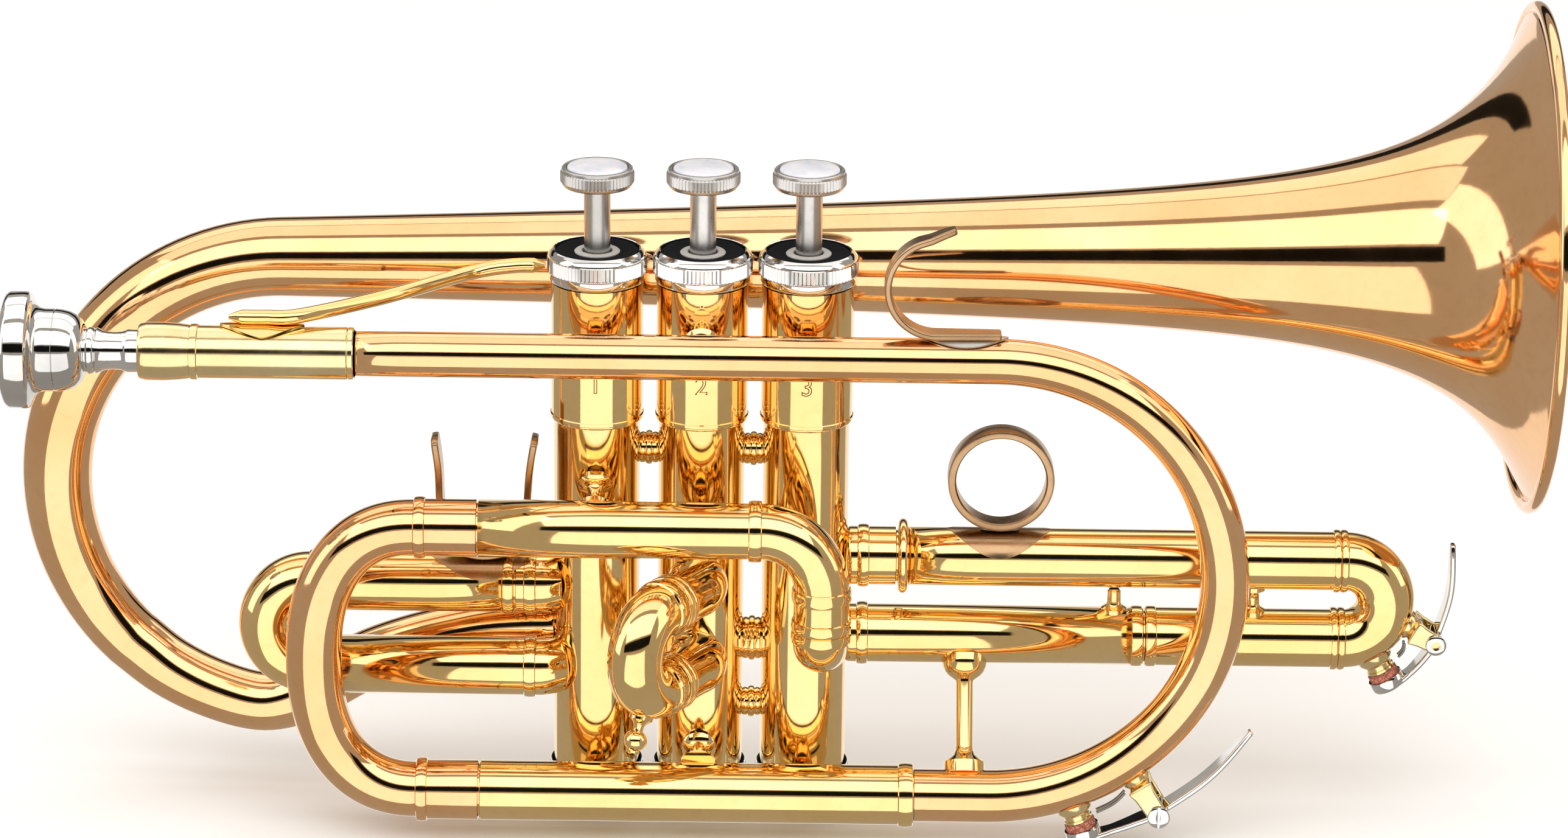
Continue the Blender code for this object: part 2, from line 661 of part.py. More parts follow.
def make_caps(number):
    x = valve_x(number)
    top = CASING_TOP_Z + CAP_HEIGHT
    plate_low = CASING_TOP_Z + CAP_NECK + GAP
    plate_high = plate_low + CAP_PLATE
    inside = CAP_RADIUS - CAP_WALL + GAP + 0.1
    recess = FELT_RADIUS + GAP
    profile = [(recess, top), (CAP_RADIUS - 0.2, top - 1.6), (CAP_RADIUS, top - 1.9),
               (CAP_RADIUS, top - 5.0), (CAP_RADIUS - 0.5, top - 5.4),
               (CAP_RADIUS - 0.5, CASING_TOP_Z + GAP), (inside, CASING_TOP_Z + GAP),
               (inside, plate_low), (STEM_HOLE, plate_low), (STEM_HOLE, plate_high),
               (recess, plate_high)]
    turned(f"top_cap_{number}", profile, silver_plate(), (x, 0, 0), closed=True)
    felt_low = plate_high + 0.1
    felt_high = felt_low + FELT_THICKNESS
    turned(f"cap_felt_{number}",
           [(FELT_RADIUS, felt_high), (FELT_RADIUS, felt_low), (STEM_HOLE, felt_low),
            (STEM_HOLE, felt_high)], black_felt(), (x, 0, 0), closed=True)

    low = CASING_BOTTOM_Z - BOTTOM_CAP_HEIGHT
    inner = CASING_LOWER_RADIUS + GAP + 0.1
    profile = [(BOTTOM_CAP_RADIUS, CASING_BOTTOM_Z), (BOTTOM_CAP_RADIUS, low + 1.6),
               (BOTTOM_CAP_RADIUS - 2.2, low), (1.2, low), (1.2, low + 1.6),
               (inner - 1.6, low + 1.6), (inner, low + 3), (inner, CASING_BOTTOM_Z)]
    turned(f"bottom_cap_{number}", profile, silver_plate(), (x, 0, 0), closed=True)


def piston_ports(number):
    """(height at rest, direction in the plane) of the bores that cross each piston."""
    slides = {1: ((FIRST_UPPER[1], (1, 0, 0)), (FIRST_LOWER[1], (1, 0, 0))),
              2: ((SECOND_UPPER_Z, second_axis()), (SECOND_LOWER_Z, second_axis())),
              3: ((THIRD_UPPER_Z, (1, 0, 0)), (THIRD_LOWER_Z, (1, 0, 0)))}
    return slides[number]


def make_piston(number):
    x = valve_x(number)
    top, low, radius = PISTON_TOP_Z, PISTON_BOTTOM_Z, PISTON_RADIUS
    inside = radius - PISTON_WALL
    barrel_inside = BARREL_RADIUS - BARREL_WALL
    profile = [(STEM_RADIUS + 0.6, BARREL_TOP_Z), (BARREL_RADIUS, BARREL_TOP_Z),
               (BARREL_RADIUS, top), (radius, top), (radius, low), (2.5, low), (2.5, low + 1.2),
               (inside, low + 1.2), (inside, top - 1.2), (2.5, top - 1.2), (2.5, top),
               (barrel_inside, top), (barrel_inside, BARREL_TOP_Z - 1.5),
               (STEM_RADIUS + 0.6, BARREL_TOP_Z - 1.5)]
    piston = turned(f"piston_{number}", profile, monel(), (x, 0, 0), closed=True)
    blank = [(0, top), (radius - 0.05, top), (radius - 0.05, low), (0, low)]
    for i, (z, direction) in enumerate(piston_ports(number)):
        along = Vector(direction)
        start = Vector((x, 0, z)) - along * (radius + 1)
        outer = PORT_RADIUS + PORT_WALL
        plug = turned(f"port_{number}_{i}", [(0, 2 * radius + 2), (outer, 2 * radius + 2),
                                             (outer, 0), (0, 0)],
                      monel(), start, along, sides=8, helper=True)
        core = turned(f"core_{number}_{i}", blank, monel(), (x, 0, 0), helper=True)
        plug = combine(solid_mesh(plug), core, "INTERSECT")
        bore = turned(f"bore_{number}_{i}", [(0, 2 * radius + 4), (PORT_RADIUS, 2 * radius + 4),
                                             (PORT_RADIUS, -2), (0, -2)],
                      monel(), start, along, sides=8, helper=True)
        combine(piston, plug)
        combine(piston, bore, "DIFFERENCE")
    slot_low = top + 1.0
    slot_high = slot_low + GUIDE_HEIGHT + VALVE_TRAVEL + 3 * GAP
    half = GUIDE_WIDTH / 2 + GAP
    slot = block(f"slot_{number}", (x - half, -radius, slot_low), (x + half, radius, slot_high),
                 None, True)
    combine(piston, slot, "DIFFERENCE")


def guide_base():
    return PISTON_TOP_Z + 1.0 + GAP


def make_guide(number):
    x = valve_x(number)
    low = guide_base()
    high = low + GUIDE_HEIGHT
    hub = BARREL_RADIUS - BARREL_WALL - 3 * GAP
    half = GUIDE_WIDTH / 2
    reach = PISTON_RADIUS - 0.1
    ring = turned(f"guide_hub_{number}", [(0, high), (hub, high), (hub, low), (0, low)], nylon(),
                  (x, 0, 0))
    wings = block(f"guide_wings_{number}", (x - half, -reach, low + 0.2),
                  (x + half, reach, high - 0.2), nylon())
    join(f"valve_guide_{number}", [ring, wings])

    spring_low = high + GAP + SPRING_WIRE
    spring_high = BARREL_TOP_Z - 1.5 - GAP - SPRING_WIRE
    radius = BARREL_RADIUS - BARREL_WALL - SPRING_WIRE - 0.5
    steps = SPRING_TURNS * 8
    coil = [(x + radius * cos(2 * pi * i / 8), radius * sin(2 * pi * i / 8),
             spring_low + (spring_high - spring_low) * i / steps) for i in range(steps + 1)]
    rod(f"valve_spring_{number}", coil, SPRING_WIRE, spring_steel(), 6)


def button_top():
    """The button's underside meets the felt when the valve is fully down."""
    plate_high = CASING_TOP_Z + CAP_NECK + GAP + CAP_PLATE
    return plate_high + 0.1 + FELT_THICKNESS + GAP + VALVE_TRAVEL + BUTTON_HEIGHT


def make_stem(number):
    x = valve_x(number)
    top = button_top()
    low = top - BUTTON_HEIGHT
    seat = top - PEARL_RECESS
    profile = [(0, seat), (PEARL_RADIUS + GAP, seat), (PEARL_RADIUS + GAP, top),
               (BUTTON_RADIUS - 0.6, top), (BUTTON_RADIUS, top - 1.2), (BUTTON_RADIUS, low + 0.8),
               (BUTTON_RADIUS - 0.8, low), (STEM_RADIUS, low), (STEM_RADIUS, BARREL_TOP_Z + GAP),
               (0, BARREL_TOP_Z + GAP)]
    turned(f"valve_stem_{number}", profile, silver_plate(), (x, 0, 0))
    base = seat + GAP
    profile = [(0, top + 0.5), (PEARL_RADIUS - 2.0, top + 0.3), (PEARL_RADIUS, top - 0.1),
               (PEARL_RADIUS, base), (0, base)]
    turned(f"pearl_{number}", profile, pearl(), (x, 0, 0))


def make_knuckles():
    for name, left, z, radius in (("knuckle_1_2", 1, KNUCKLE_Z, KNUCKLE_RADIUS),
                                  ("knuckle_2_3", 2, KNUCKLE_Z, KNUCKLE_RADIUS),
                                  ("port_tube_2_3", 2, PORT_TUBE_Z, PORT_TUBE_RADIUS)):
        start = valve_x(left) + CASING_LOWER_RADIUS + GAP
        end = valve_x(left + 1) - CASING_LOWER_RADIUS - GAP
        middle = (start + end) / 2
        stations = [((start, 0, z), radius - 0.4), ((middle, 0, z), radius),
                    ((end, 0, z), radius - 0.4)]
        pipe(name, stations, yellow_brass())


def make_finger_hook():
    base = LEADPIPE_Z + LEADPIPE_RADIUS + GAP + STRIP_THICKNESS / 2
    tip = [(57.0, base + 24.6), (51.5, base + 22.4)]
    bend = [polar((53.0, base + 11.2), 11.2, angle) for angle in range(115, 280, 18)]
    foot = [(56.5, base), (67.5, base)]
    ribbon("finger_hook", tip + bend + foot, STRIP_THICKNESS, 5.6, nickel_silver(), LEADPIPE_Y)


def make_bell_brace():
    """A half-round bar from the receiver's top to the front of the bell."""
    radius = 1.7
    top = LEADPIPE_Z + RECEIVER_RADIUS + GAP + 0.25 + radius
    front = BELL_Y - bell_radius(-45) - GAP - radius
    points = [(-106, LEADPIPE_Y, top), (-90, LEADPIPE_Y + 0.5, top + 0.3), (-54, front - 1.5, 30.2),
              (-44, front, 31.6), (-36.5, front, 31.8)]
    rod("bell_brace", points, radius, yellow_brass())


def make_water_key(label, centre, y, bow_outer, angles, pivot_rise, tip_rise):
    """Saddle with two ears and a pin; a sprung lever with a cup and its cork.

    Places are polar about the bow's centre: angles are those of the cork, the post, the pivot
    and the lever's tip, and the rises are the last two places' heights over the bow's tube.
    """
    cork_angle, post_angle, pivot_angle, tip_angle = angles
    pivot = polar(centre, bow_outer + pivot_rise, pivot_angle)
    tip = polar(centre, bow_outer + tip_rise, tip_angle)
    half = KEY_WIDTH / 2
    out = Vector((cos(radians(cork_angle)), 0, sin(radians(cork_angle))))
    seat = bow_outer + CORK_SEAT
    cork_at = Vector((centre[0], y, centre[1])) + out * seat
    turned(f"{label}_key_cork", [(0, CORK_THICKNESS), (CORK_RADIUS, CORK_THICKNESS),
                                 (CORK_RADIUS, 0), (0, 0)], cork(), cork_at, out, sides=12)

    cup = turned(f"{label}_key_cup", [(0, 5.0), (CORK_RADIUS - 0.2, 5.0), (CORK_RADIUS + 0.5, 4.2),
                                      (CORK_RADIUS + 0.5, CORK_THICKNESS + GAP),
                                      (0, CORK_THICKNESS + GAP)],
                 silver_plate(), cork_at, out, sides=12)
    cup_radius = seat + CORK_THICKNESS + 1.6
    cup_at = polar(centre, cup_radius, cork_angle)
    barrel = turned(f"{label}_key_barrel", [(0, half), (KEY_BARREL_RADIUS, half),
                                            (KEY_BARREL_RADIUS, -half), (0, -half)],
                    silver_plate(), (pivot[0], y, pivot[1]), (0, 1, 0), sides=12)
    bulge = Vector(pivot) * 0.52 + Vector(tip) * 0.48
    outward = (bulge - Vector(centre)).normalized()
    mid = bulge + outward * 1.5
    climb = bow_outer + pivot_rise - cup_radius
    between = [polar(centre, cup_radius + climb * share,
                     cork_angle + (pivot_angle - cork_angle) * share) for share in (0.35, 0.7)]
    path = [cup_at, *between, pivot, tuple(mid), tip]
    arm = ribbon(f"{label}_key_arm", path, 1.3, KEY_WIDTH, silver_plate(), y)
    pin_hole = KEY_PIN_RADIUS + GAP + 0.1
    bore = turned(f"{label}_key_bore", [(0, half + 1), (pin_hole, half + 1),
                                        (pin_hole, -half - 1), (0, -half - 1)],
                  None, (pivot[0], y, pivot[1]), (0, 1, 0), sides=12, helper=True)
    join(f"{label}_key_lever", [cup, arm, barrel], [bore])

    ear_low = half + GAP
    ear_high = ear_low + 1.2
    foot = polar(centre, bow_outer + GAP + 0.4, post_angle)
    ways = Vector(pivot) - Vector(foot)
    side = Vector((-ways.y, ways.x)).normalized() * 2.2
    outline = [(foot[0] - side.x, foot[1] - side.y), (foot[0] + side.x, foot[1] + side.y),
               (pivot[0] + side.x, pivot[1] + side.y), (pivot[0] - side.x, pivot[1] - side.y)]
    middle = (ear_low + ear_high) / 2
    ears = [plate(f"{label}_key_ear_{i}", outline, ear_high - ear_low, yellow_brass(), y + dy)
            for i, dy in enumerate((-middle, middle))]
    sole = Vector(foot) - ways.normalized() * 0.15
    knee = Vector(foot) + ways.normalized() * 1.6
    wide = side * 1.15
    base_outline = [tuple(sole - wide), tuple(sole + wide), tuple(knee + wide),
                    tuple(knee - wide)]
    base = plate(f"{label}_key_base", base_outline, 2 * ear_high - 0.4, yellow_brass(), y)
    pin = rod(f"{label}_key_pin", [(pivot[0], y - ear_high - 0.8, pivot[1]),
                                   (pivot[0], y + ear_high + 0.8, pivot[1])],
              KEY_PIN_RADIUS, yellow_brass())
    join(f"{label}_key_saddle", [base] + ears + [pin])

    beside_post = post_angle - degrees((side.length * 1.15 + KEY_WIRE + 2 * GAP) / bow_outer)
    beside_cork = cork_angle + degrees((CORK_RADIUS + KEY_WIRE + GAP) / bow_outer)
    middle_angle = (beside_post + beside_cork) / 2
    wire = [polar(centre, bow_outer + radius, angle) for radius, angle in
            ((1.4, beside_post), (2.4, middle_angle), (2.6, beside_cork))]
    rod(f"{label}_key_spring", [(x, y, z) for x, z in wire], KEY_WIRE,
        spring_steel(), 6)


def build():
    reset_scene()
    make_bell()
    make_mouthpiece()
    make_receiver()
    make_leadpipe()
    make_main_sleeves()
    make_tuning_slide()
    make_first_slide()
    make_second_slide()
    make_third_slide()
    for number in (1, 2, 3):
        make_casing(number)
        make_caps(number)
        make_piston(number)
        make_guide(number)
        make_stem(number)
    make_knuckles()
    make_finger_hook()
    make_bell_brace()
    make_water_key("lower", (BOW_X, LEADPIPE_Z - BOW_RADIUS), LEADPIPE_Y,
                   BOW_RADIUS + BOW_TUBE_RADIUS, LOWER_KEY_ANGLES, 9.31, 11.26)
    make_water_key("upper", (THIRD_BOW_X, (THIRD_UPPER_Z + THIRD_LOWER_Z) / 2), 0,
                   (THIRD_UPPER_Z - THIRD_LOWER_Z) / 2 + SLIDE_RADIUS, UPPER_KEY_ANGLES, 6.93,
                   12.09)


build()
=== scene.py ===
"""Fine surface, finishes, lights and camera for a B-flat cornet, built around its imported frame.

Lengths are in millimetres and MM turns them into metres.  The frame's origin is on the middle
valve's axis at the step ring of its casing: +X to the bell's mouth, +Y to the bell tube's side.
"""

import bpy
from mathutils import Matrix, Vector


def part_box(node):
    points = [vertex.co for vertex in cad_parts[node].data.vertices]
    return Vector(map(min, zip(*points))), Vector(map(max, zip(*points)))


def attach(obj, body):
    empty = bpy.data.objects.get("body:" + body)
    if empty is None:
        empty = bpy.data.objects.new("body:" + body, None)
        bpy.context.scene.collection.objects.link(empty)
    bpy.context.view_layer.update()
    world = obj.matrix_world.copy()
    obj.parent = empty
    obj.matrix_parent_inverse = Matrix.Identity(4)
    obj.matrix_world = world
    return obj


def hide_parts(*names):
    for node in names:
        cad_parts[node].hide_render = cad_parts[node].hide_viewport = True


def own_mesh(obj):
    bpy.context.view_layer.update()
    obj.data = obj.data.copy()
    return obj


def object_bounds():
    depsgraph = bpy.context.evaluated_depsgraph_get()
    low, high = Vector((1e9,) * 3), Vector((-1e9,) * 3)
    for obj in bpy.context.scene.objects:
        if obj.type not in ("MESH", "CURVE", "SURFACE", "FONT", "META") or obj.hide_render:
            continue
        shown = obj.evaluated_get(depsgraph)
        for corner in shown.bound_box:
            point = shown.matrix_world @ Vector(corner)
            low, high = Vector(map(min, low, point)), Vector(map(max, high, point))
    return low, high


bl_info = {
    "name": "Cornet Workshop",
    "version": (1, 0, 0),
    "blender": (4, 5, 0),
    "location": "View3D > Sidebar > Cornet",
    "description": "Builds the finished cornet around its packed frame",
    "category": "Object",
}

from math import atan2, cos, degrees, pi, radians, sin, tan, tau

import bpy
from mathutils import Vector

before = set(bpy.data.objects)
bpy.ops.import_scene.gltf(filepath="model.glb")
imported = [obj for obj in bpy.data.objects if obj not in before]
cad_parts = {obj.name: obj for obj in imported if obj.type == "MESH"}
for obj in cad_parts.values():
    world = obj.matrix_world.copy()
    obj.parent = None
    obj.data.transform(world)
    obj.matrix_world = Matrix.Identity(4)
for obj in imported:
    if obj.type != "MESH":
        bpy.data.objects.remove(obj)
CAD_BOX = [list(corner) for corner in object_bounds()]

MM = 0.001
WALL = 0.6
ROUND = 56  # sides of a tube
SMOOTH = 38  # degrees: sharper edges than this stay crisp
SOLDER = 0.3
LOW_BEAD = 0.9


def node_box(node):
    """The lowest and highest corners of a frame node, in millimetres."""
    low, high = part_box(node)
    return low / MM, high / MM


def middle_of(node):
    low, high = node_box(node)
    return (low + high) / 2


VALVES = [middle_of(f"valve_casing_{number}").x for number in (1, 2, 3)]
SPACING = VALVES[1] - VALVES[0]
LEADPIPE_Y = middle_of("mouthpiece").y
LEADPIPE_Z = middle_of("mouthpiece").z
LOWER_LEG_Z = middle_of("lower_outer_sleeve").z
BOW_RADIUS = (LEADPIPE_Z - LOWER_LEG_Z) / 2
BOW_X = 67.0
BOW_TUBE = 6.1
LEADPIPE_TUBE = 5.15
FLOOR_Z = CAD_BOX[0][2] / MM - 0.4


# Modelling


def trim():
    return bpy.context.scene.cornet_trim


def deselect():
    if bpy.context.mode != "OBJECT":
        bpy.ops.object.mode_set(mode="OBJECT")
    bpy.ops.object.select_all(action="DESELECT")


def edit(piece, mode="VERT"):
    """Opens a piece in edit mode with everything in it selected."""
    deselect()
    piece.select_set(True)
    bpy.context.view_layer.objects.active = piece
    bpy.ops.object.mode_set(mode="EDIT")
    bpy.ops.mesh.select_mode(type=mode)
    bpy.ops.mesh.select_all(action="SELECT")


def settle(piece, angle=SMOOTH):
    """Welds and turns out the faces, puts the place into the mesh and smooths by angle."""
    edit(piece)
    bpy.ops.mesh.remove_doubles(threshold=0.002 * MM)
    bpy.ops.mesh.normals_make_consistent(inside=False)
    bpy.ops.object.mode_set(mode="OBJECT")
    bpy.ops.object.transform_apply(location=True, rotation=True, scale=True)
    bpy.ops.object.shade_smooth_by_angle(angle=radians(angle))
    return piece


def line_of(name, points):
    """A chain of edges through points, drawn by extruding one vertex."""
    deselect()
    places = [Vector(point) * MM for point in points]
    bpy.ops.mesh.primitive_plane_add(size=MM, location=places[0])
    piece = bpy.context.active_object
    piece.name = name
    piece.data.name = name
    bpy.ops.object.mode_set(mode="EDIT")
    bpy.ops.mesh.select_all(action="SELECT")
    bpy.ops.mesh.merge(type="CENTER")
    for here, there in zip(places, places[1:]):
        bpy.ops.mesh.extrude_region_move(TRANSFORM_OT_translate={"value": there - here})
    return piece


def turned(name, start, axis, profile, steps=ROUND, angle=SMOOTH):
    """A lathe piece: (radius, height) points about an axis from a start point."""
    axis = Vector(axis).normalized()
    across = axis.orthogonal().normalized()
    start = Vector(start)
    piece = line_of(name, [start + across * r + axis * h for r, h in profile])
    bpy.ops.mesh.select_all(action="SELECT")
    bpy.ops.mesh.spin(steps=steps, angle=tau, center=start * MM, axis=axis)
    return settle(piece, angle)


def tube(name, points, radii, sides=ROUND, capped=True, wall=0.0):
    """A round tube along points; an open one may be given a wall."""
    deselect()
    bpy.ops.curve.primitive_bezier_curve_add()
    piece = bpy.context.active_object
    piece.name = name
    run = piece.data
    run.splines.clear()
    run.dimensions = "3D"
    run.bevel_depth = MM
    run.bevel_resolution = min(32, sides // 2 - 2)
    run.use_fill_caps = capped
    spline = run.splines.new("POLY")
    spline.points.add(len(points) - 1)
    if not hasattr(radii, "__len__"):
        radii = [radii] * len(points)
    for knot, point, radius in zip(spline.points, points, radii):
        knot.co = (*(Vector(point) * MM), 1)
        knot.radius = radius
    bpy.ops.object.convert(target="MESH")
    piece = bpy.context.active_object
    piece.name = name
    piece.data.name = name
    settle(piece)
    if wall:
        add_wall(piece, wall, -1)
    return piece


def tube_of(name, stations, sides=ROUND):
    """An open drawn tube through (point, radius) stations."""
    points, radii = zip(*stations)
    return tube(name, points, radii, sides, False, WALL)


def add_wall(piece, thickness, offset=0.0):
    deselect()
    piece.select_set(True)
    bpy.context.view_layer.objects.active = piece
    shell = piece.modifiers.new("wall", "SOLIDIFY")
    shell.thickness = thickness * MM
    shell.offset = offset
    bpy.ops.object.modifier_apply(modifier=shell.name)
    return piece


def round_edges(piece, width, segments=3):
    deselect()
    piece.select_set(True)
    bpy.context.view_layer.objects.active = piece
    edge = piece.modifiers.new("edge", "BEVEL")
    edge.width = width * MM
    edge.segments = segments
    edge.limit_method = "ANGLE"
    edge.angle_limit = radians(40)
    bpy.ops.object.modifier_apply(modifier=edge.name)
    bpy.ops.object.shade_smooth_by_angle(angle=radians(50))
    return piece


def band(name, left, right, thickness, bevel):
    """A bent strip between two lines of points, with its edges rounded."""
    edges = []
    for side in (left, right):
        edges.append(line_of(name, side))
        bpy.ops.object.mode_set(mode="OBJECT")
        bpy.ops.object.transform_apply(location=True, rotation=True, scale=True)
    first = joined(edges)
    edit(first, "EDGE")
    bpy.ops.mesh.bridge_edge_loops(type="SINGLE")
    settle(first)
    add_wall(first, thickness)
    settle(first)
    return round_edges(first, bevel)


def strip(name, path, widths, thickness, y, bevel):
    """A strip that follows (x, z) points and is wide along Y, with a width for each point."""
    left = [(x, y - w / 2, z) for (x, z), w in zip(path, widths)]
    right = [(x, y + w / 2, z) for (x, z), w in zip(path, widths)]
    return band(name, left, right, thickness, bevel)


def joined(pieces):
    """Makes one mesh of several; the first keeps its name."""
    deselect()
    for piece in pieces:
        piece.select_set(True)
    bpy.context.view_layer.objects.active = pieces[0]
    bpy.ops.object.join()
    return pieces[0]


def copied(piece, name, shift):
    """A copy with its own mesh, moved by shift."""
    deselect()
    piece.select_set(True)
    bpy.context.view_layer.objects.active = piece
    bpy.ops.object.duplicate(linked=False)
    twin = bpy.context.active_object
    twin.name = name
    twin.data.name = name
    bpy.ops.transform.translate(value=Vector(shift) * MM)
    bpy.ops.object.transform_apply(location=True, rotation=True, scale=True)
    return twin


def knurl(piece, centre, low, high, reach, teeth, depth):
    """Presses ridges into a band of a piece turned about Z with four steps to a tooth."""
    for part, share in ((0, 1.0), (1, 0.5), (3, 0.5)):
        bpy.ops.object.mode_set(mode="OBJECT")
        for vertex in piece.data.vertices:
            x, y, z = vertex.co / MM
            turn = round(atan2(y - centre[1], x - centre[0]) / tau * teeth * 4) % 4
            far = (x - centre[0]) ** 2 + (y - centre[1]) ** 2 > reach ** 2
            vertex.select = turn == part and far and low < z < high
        for edge in piece.data.edges:
            edge.select = False
        for face in piece.data.polygons:
            face.select = False
        deselect()
        piece.select_set(True)
        bpy.context.view_layer.objects.active = piece
        bpy.ops.object.mode_set(mode="EDIT")
        bpy.ops.mesh.select_mode(type="VERT")
        factor = 1 - depth * share / reach
        bpy.ops.transform.resize(value=(factor, factor, 1),
                                 center_override=Vector(centre) * MM)
        bpy.ops.object.mode_set(mode="OBJECT")
    bpy.ops.object.shade_smooth_by_angle(angle=radians(60))
    return piece


def arc(centre, across, up, radius, start, end, steps):
    """Points on a circle; angles in degrees from across towards up."""
    centre = Vector(centre)
    across = Vector(across).normalized()
    up = Vector(up).normalized()
    turns = [radians(start + (end - start) * i / steps) for i in range(steps + 1)]
    return [centre + across * radius * cos(a) + up * radius * sin(a) for a in turns]


def polar(centre, radius, angle):
    return (centre[0] + radius * cos(radians(angle)), centre[1] + radius * sin(radians(angle)))


def smooth_path(points, steps=6):
    """Points on a curve that passes through the given ones."""
    points = [Vector(point) for point in points]
    ends = [points[0] * 2 - points[1], *points, points[-1] * 2 - points[-2]]
    path = []
    for before, here, there, after in zip(ends, ends[1:], ends[2:], ends[3:]):
        for i in range(steps):
            t = i / steps
            path.append((here * 2 + (there - before) * t
                         + (before * 2 - here * 5 + there * 4 - after) * t ** 2
                         + (here * 3 - before - there * 3 + after) * t ** 3) / 2)
    path.append(points[-1])
    return path


def ring_profile(radius, width, rise, beads):
    """A ferrule's section: low rounded beads side by side on a tube of that radius."""
    inside = radius - 0.3
    profile = [(inside, 0)]
    for bead in range(beads):
        for i in range(7):
            turn = pi * i / 6
            profile.append((radius + 0.08 + rise * sin(turn) ** 0.7,
                            width / beads * (bead + 0.5 - 0.5 * cos(turn))))
    return profile + [(inside, width), (inside, 0)]


def ferrule(name, start, axis, radius, width, beads=1, share=1.0):
    """A beaded ring on a tube; share lowers its beads below the trim's ferrule rise."""
    rise = share * trim().ferrule_rise / MM
    return turned(name, start, axis, ring_profile(radius, width, rise, beads), ROUND, 30)


def sleeve(name, start, axis, length, radius):
    """An open drawn tube with softened lips."""
    lip = 0.18
    inside = radius - WALL
    profile = [(inside, 0), (radius - lip, 0), (radius, lip), (radius, length - lip),
               (radius - lip, length), (inside, length), (inside, 0)]
    return turned(name, start, axis, profile)


def finished(piece, finish, *nodes, body="root", slot=None):
    """Gives a piece its finish and its body, and hides the frame nodes that it stands for; slot
    is not used.
    """
    piece.data.materials.clear()
    piece.data.materials.append(FINISHES[finish])
    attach(piece, body)
    if nodes:
        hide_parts(*nodes)
    return piece


# Finishes


class Maths:
    """A shader value that takes Python's arithmetic."""

    def __init__(self, finish, socket):
        self.finish = finish
        self.socket = socket

    def _with(self, operation, first, second):
        return self.finish.node("ShaderNodeMath", {"operation": operation},
                                {0: first, 1: second})

    def __add__(self, other):
        return self._with("ADD", self, other)

    __radd__ = __add__

    def __sub__(self, other):
        return self._with("SUBTRACT", self, other)

    def __mul__(self, other):
        return self._with("MULTIPLY", self, other)

    __rmul__ = __mul__


class Finish:
    """One material and the calls that add its nodes."""

    def __init__(self, name, **settings):
        self.material = bpy.data.materials.new(name)
        self.material.use_nodes = True
        self.tree = self.material.node_tree
        self.shader = self.tree.nodes["Principled BSDF"]
        for socket, value in settings.items():
            words = socket.replace("_", " ").title().replace("Ior", "IOR")
            self.shader.inputs[words].default_value = value

    def node(self, kind, settings, sockets, output=0):
        """Adds a node, sets it, then sets or links its sockets."""
        made = self.tree.nodes.new(kind)
        for name, value in settings.items():
            setattr(made, name, value)
        for name, value in sockets.items():
            if isinstance(value, Maths):
                self.tree.links.new(value.socket, made.inputs[name])
            else:
                made.inputs[name].default_value = value
        return Maths(self, made.outputs[output])

    def feed(self, socket, value):
        self.tree.links.new(value.socket, self.shader.inputs[socket])

    def place(self, scale=(1, 1, 1)):
        """Object coordinates in millimetres, stretched by scale."""
        spot = self.node("ShaderNodeTexCoord", {}, {}, "Object")
        return self.node("ShaderNodeMapping", {}, {"Vector": spot,
                                                   "Scale": [1000 * part for part in scale]})

    def noise(self, spot, scale, detail=3.0, roughness=0.55):
        return self.node("ShaderNodeTexNoise", {}, {"Vector": spot, "Scale": scale,
                                                    "Detail": detail, "Roughness": roughness})

    def ramp(self, factor, low, high):
        """A factor cut to the range between two values."""
        return self.node("ShaderNodeMapRange", {}, {"Value": factor, "From Min": low,
                                                    "From Max": high})

    def mix(self, factor, first, second):
        mixer = self.tree.nodes.new("ShaderNodeMix")
        mixer.data_type = "RGBA"
        for name, value in (("Factor", factor), ("A", first), ("B", second)):
            sockets = [s for s in mixer.inputs
                       if s.name == name and s.type == ("VALUE" if name == "Factor" else "RGBA")]
            if isinstance(value, Maths):
                self.tree.links.new(value.socket, sockets[0])
            else:
                sockets[0].default_value = value
        result = next(s for s in mixer.outputs if s.type == "RGBA")
        return Maths(self, result)

    def bump(self, height, strength, distance):
        self.feed("Normal", self.node("ShaderNodeBump", {}, {
            "Height": height, "Strength": strength, "Distance": distance * MM}))


def colour(*parts):
    return (*parts, 1.0)


def hex_colour(text):
    """Linear colour from a six-digit sRGB code."""
    parts = [int(text[i:i + 2], 16) / 255 for i in (0, 2, 4)]
    return colour(*(part / 12.92 if part <= 0.04045 else ((part + 0.055) / 1.055) ** 2.4
                    for part in parts))


def polished_metal(name, bright, deep, rough, ripple=0.05, coat=0.0):
    """A buffed or drawn metal: slow tone drift, faint smears and fine buffing lines."""
    finish = Finish(name, metallic=1.0, coat_weight=coat, coat_roughness=0.04)
    spot = finish.place()
    drift = finish.ramp(finish.noise(spot, 0.03, 2.0), 0.35, 0.7)
    fleck = finish.ramp(finish.noise(spot, 0.35, 5.0, 0.6), 0.48, 0.78)
    tone = finish.mix(drift, bright, deep)
    dull = colour(*(part * 0.86 for part in deep[:3]))
    finish.feed("Base Color", finish.mix(fleck * 0.35, tone, dull))
    smear = finish.noise(finish.place((1, 1, 0.35)), 0.12, 4.0, 0.62)
    lines = finish.noise(finish.place((0.5, 6, 6)), 1.4, 2.0)
    finish.feed("Roughness", rough + finish.ramp(smear, 0.4, 0.85) * rough * 0.8
                + finish.ramp(lines, 0.4, 0.8) * rough * 0.35)
    wave = finish.noise(spot, 0.22, 2.0) + 0.12 * finish.noise(spot, 5.0, 3.0)
    finish.bump(wave, 0.25, ripple)
    return finish.material


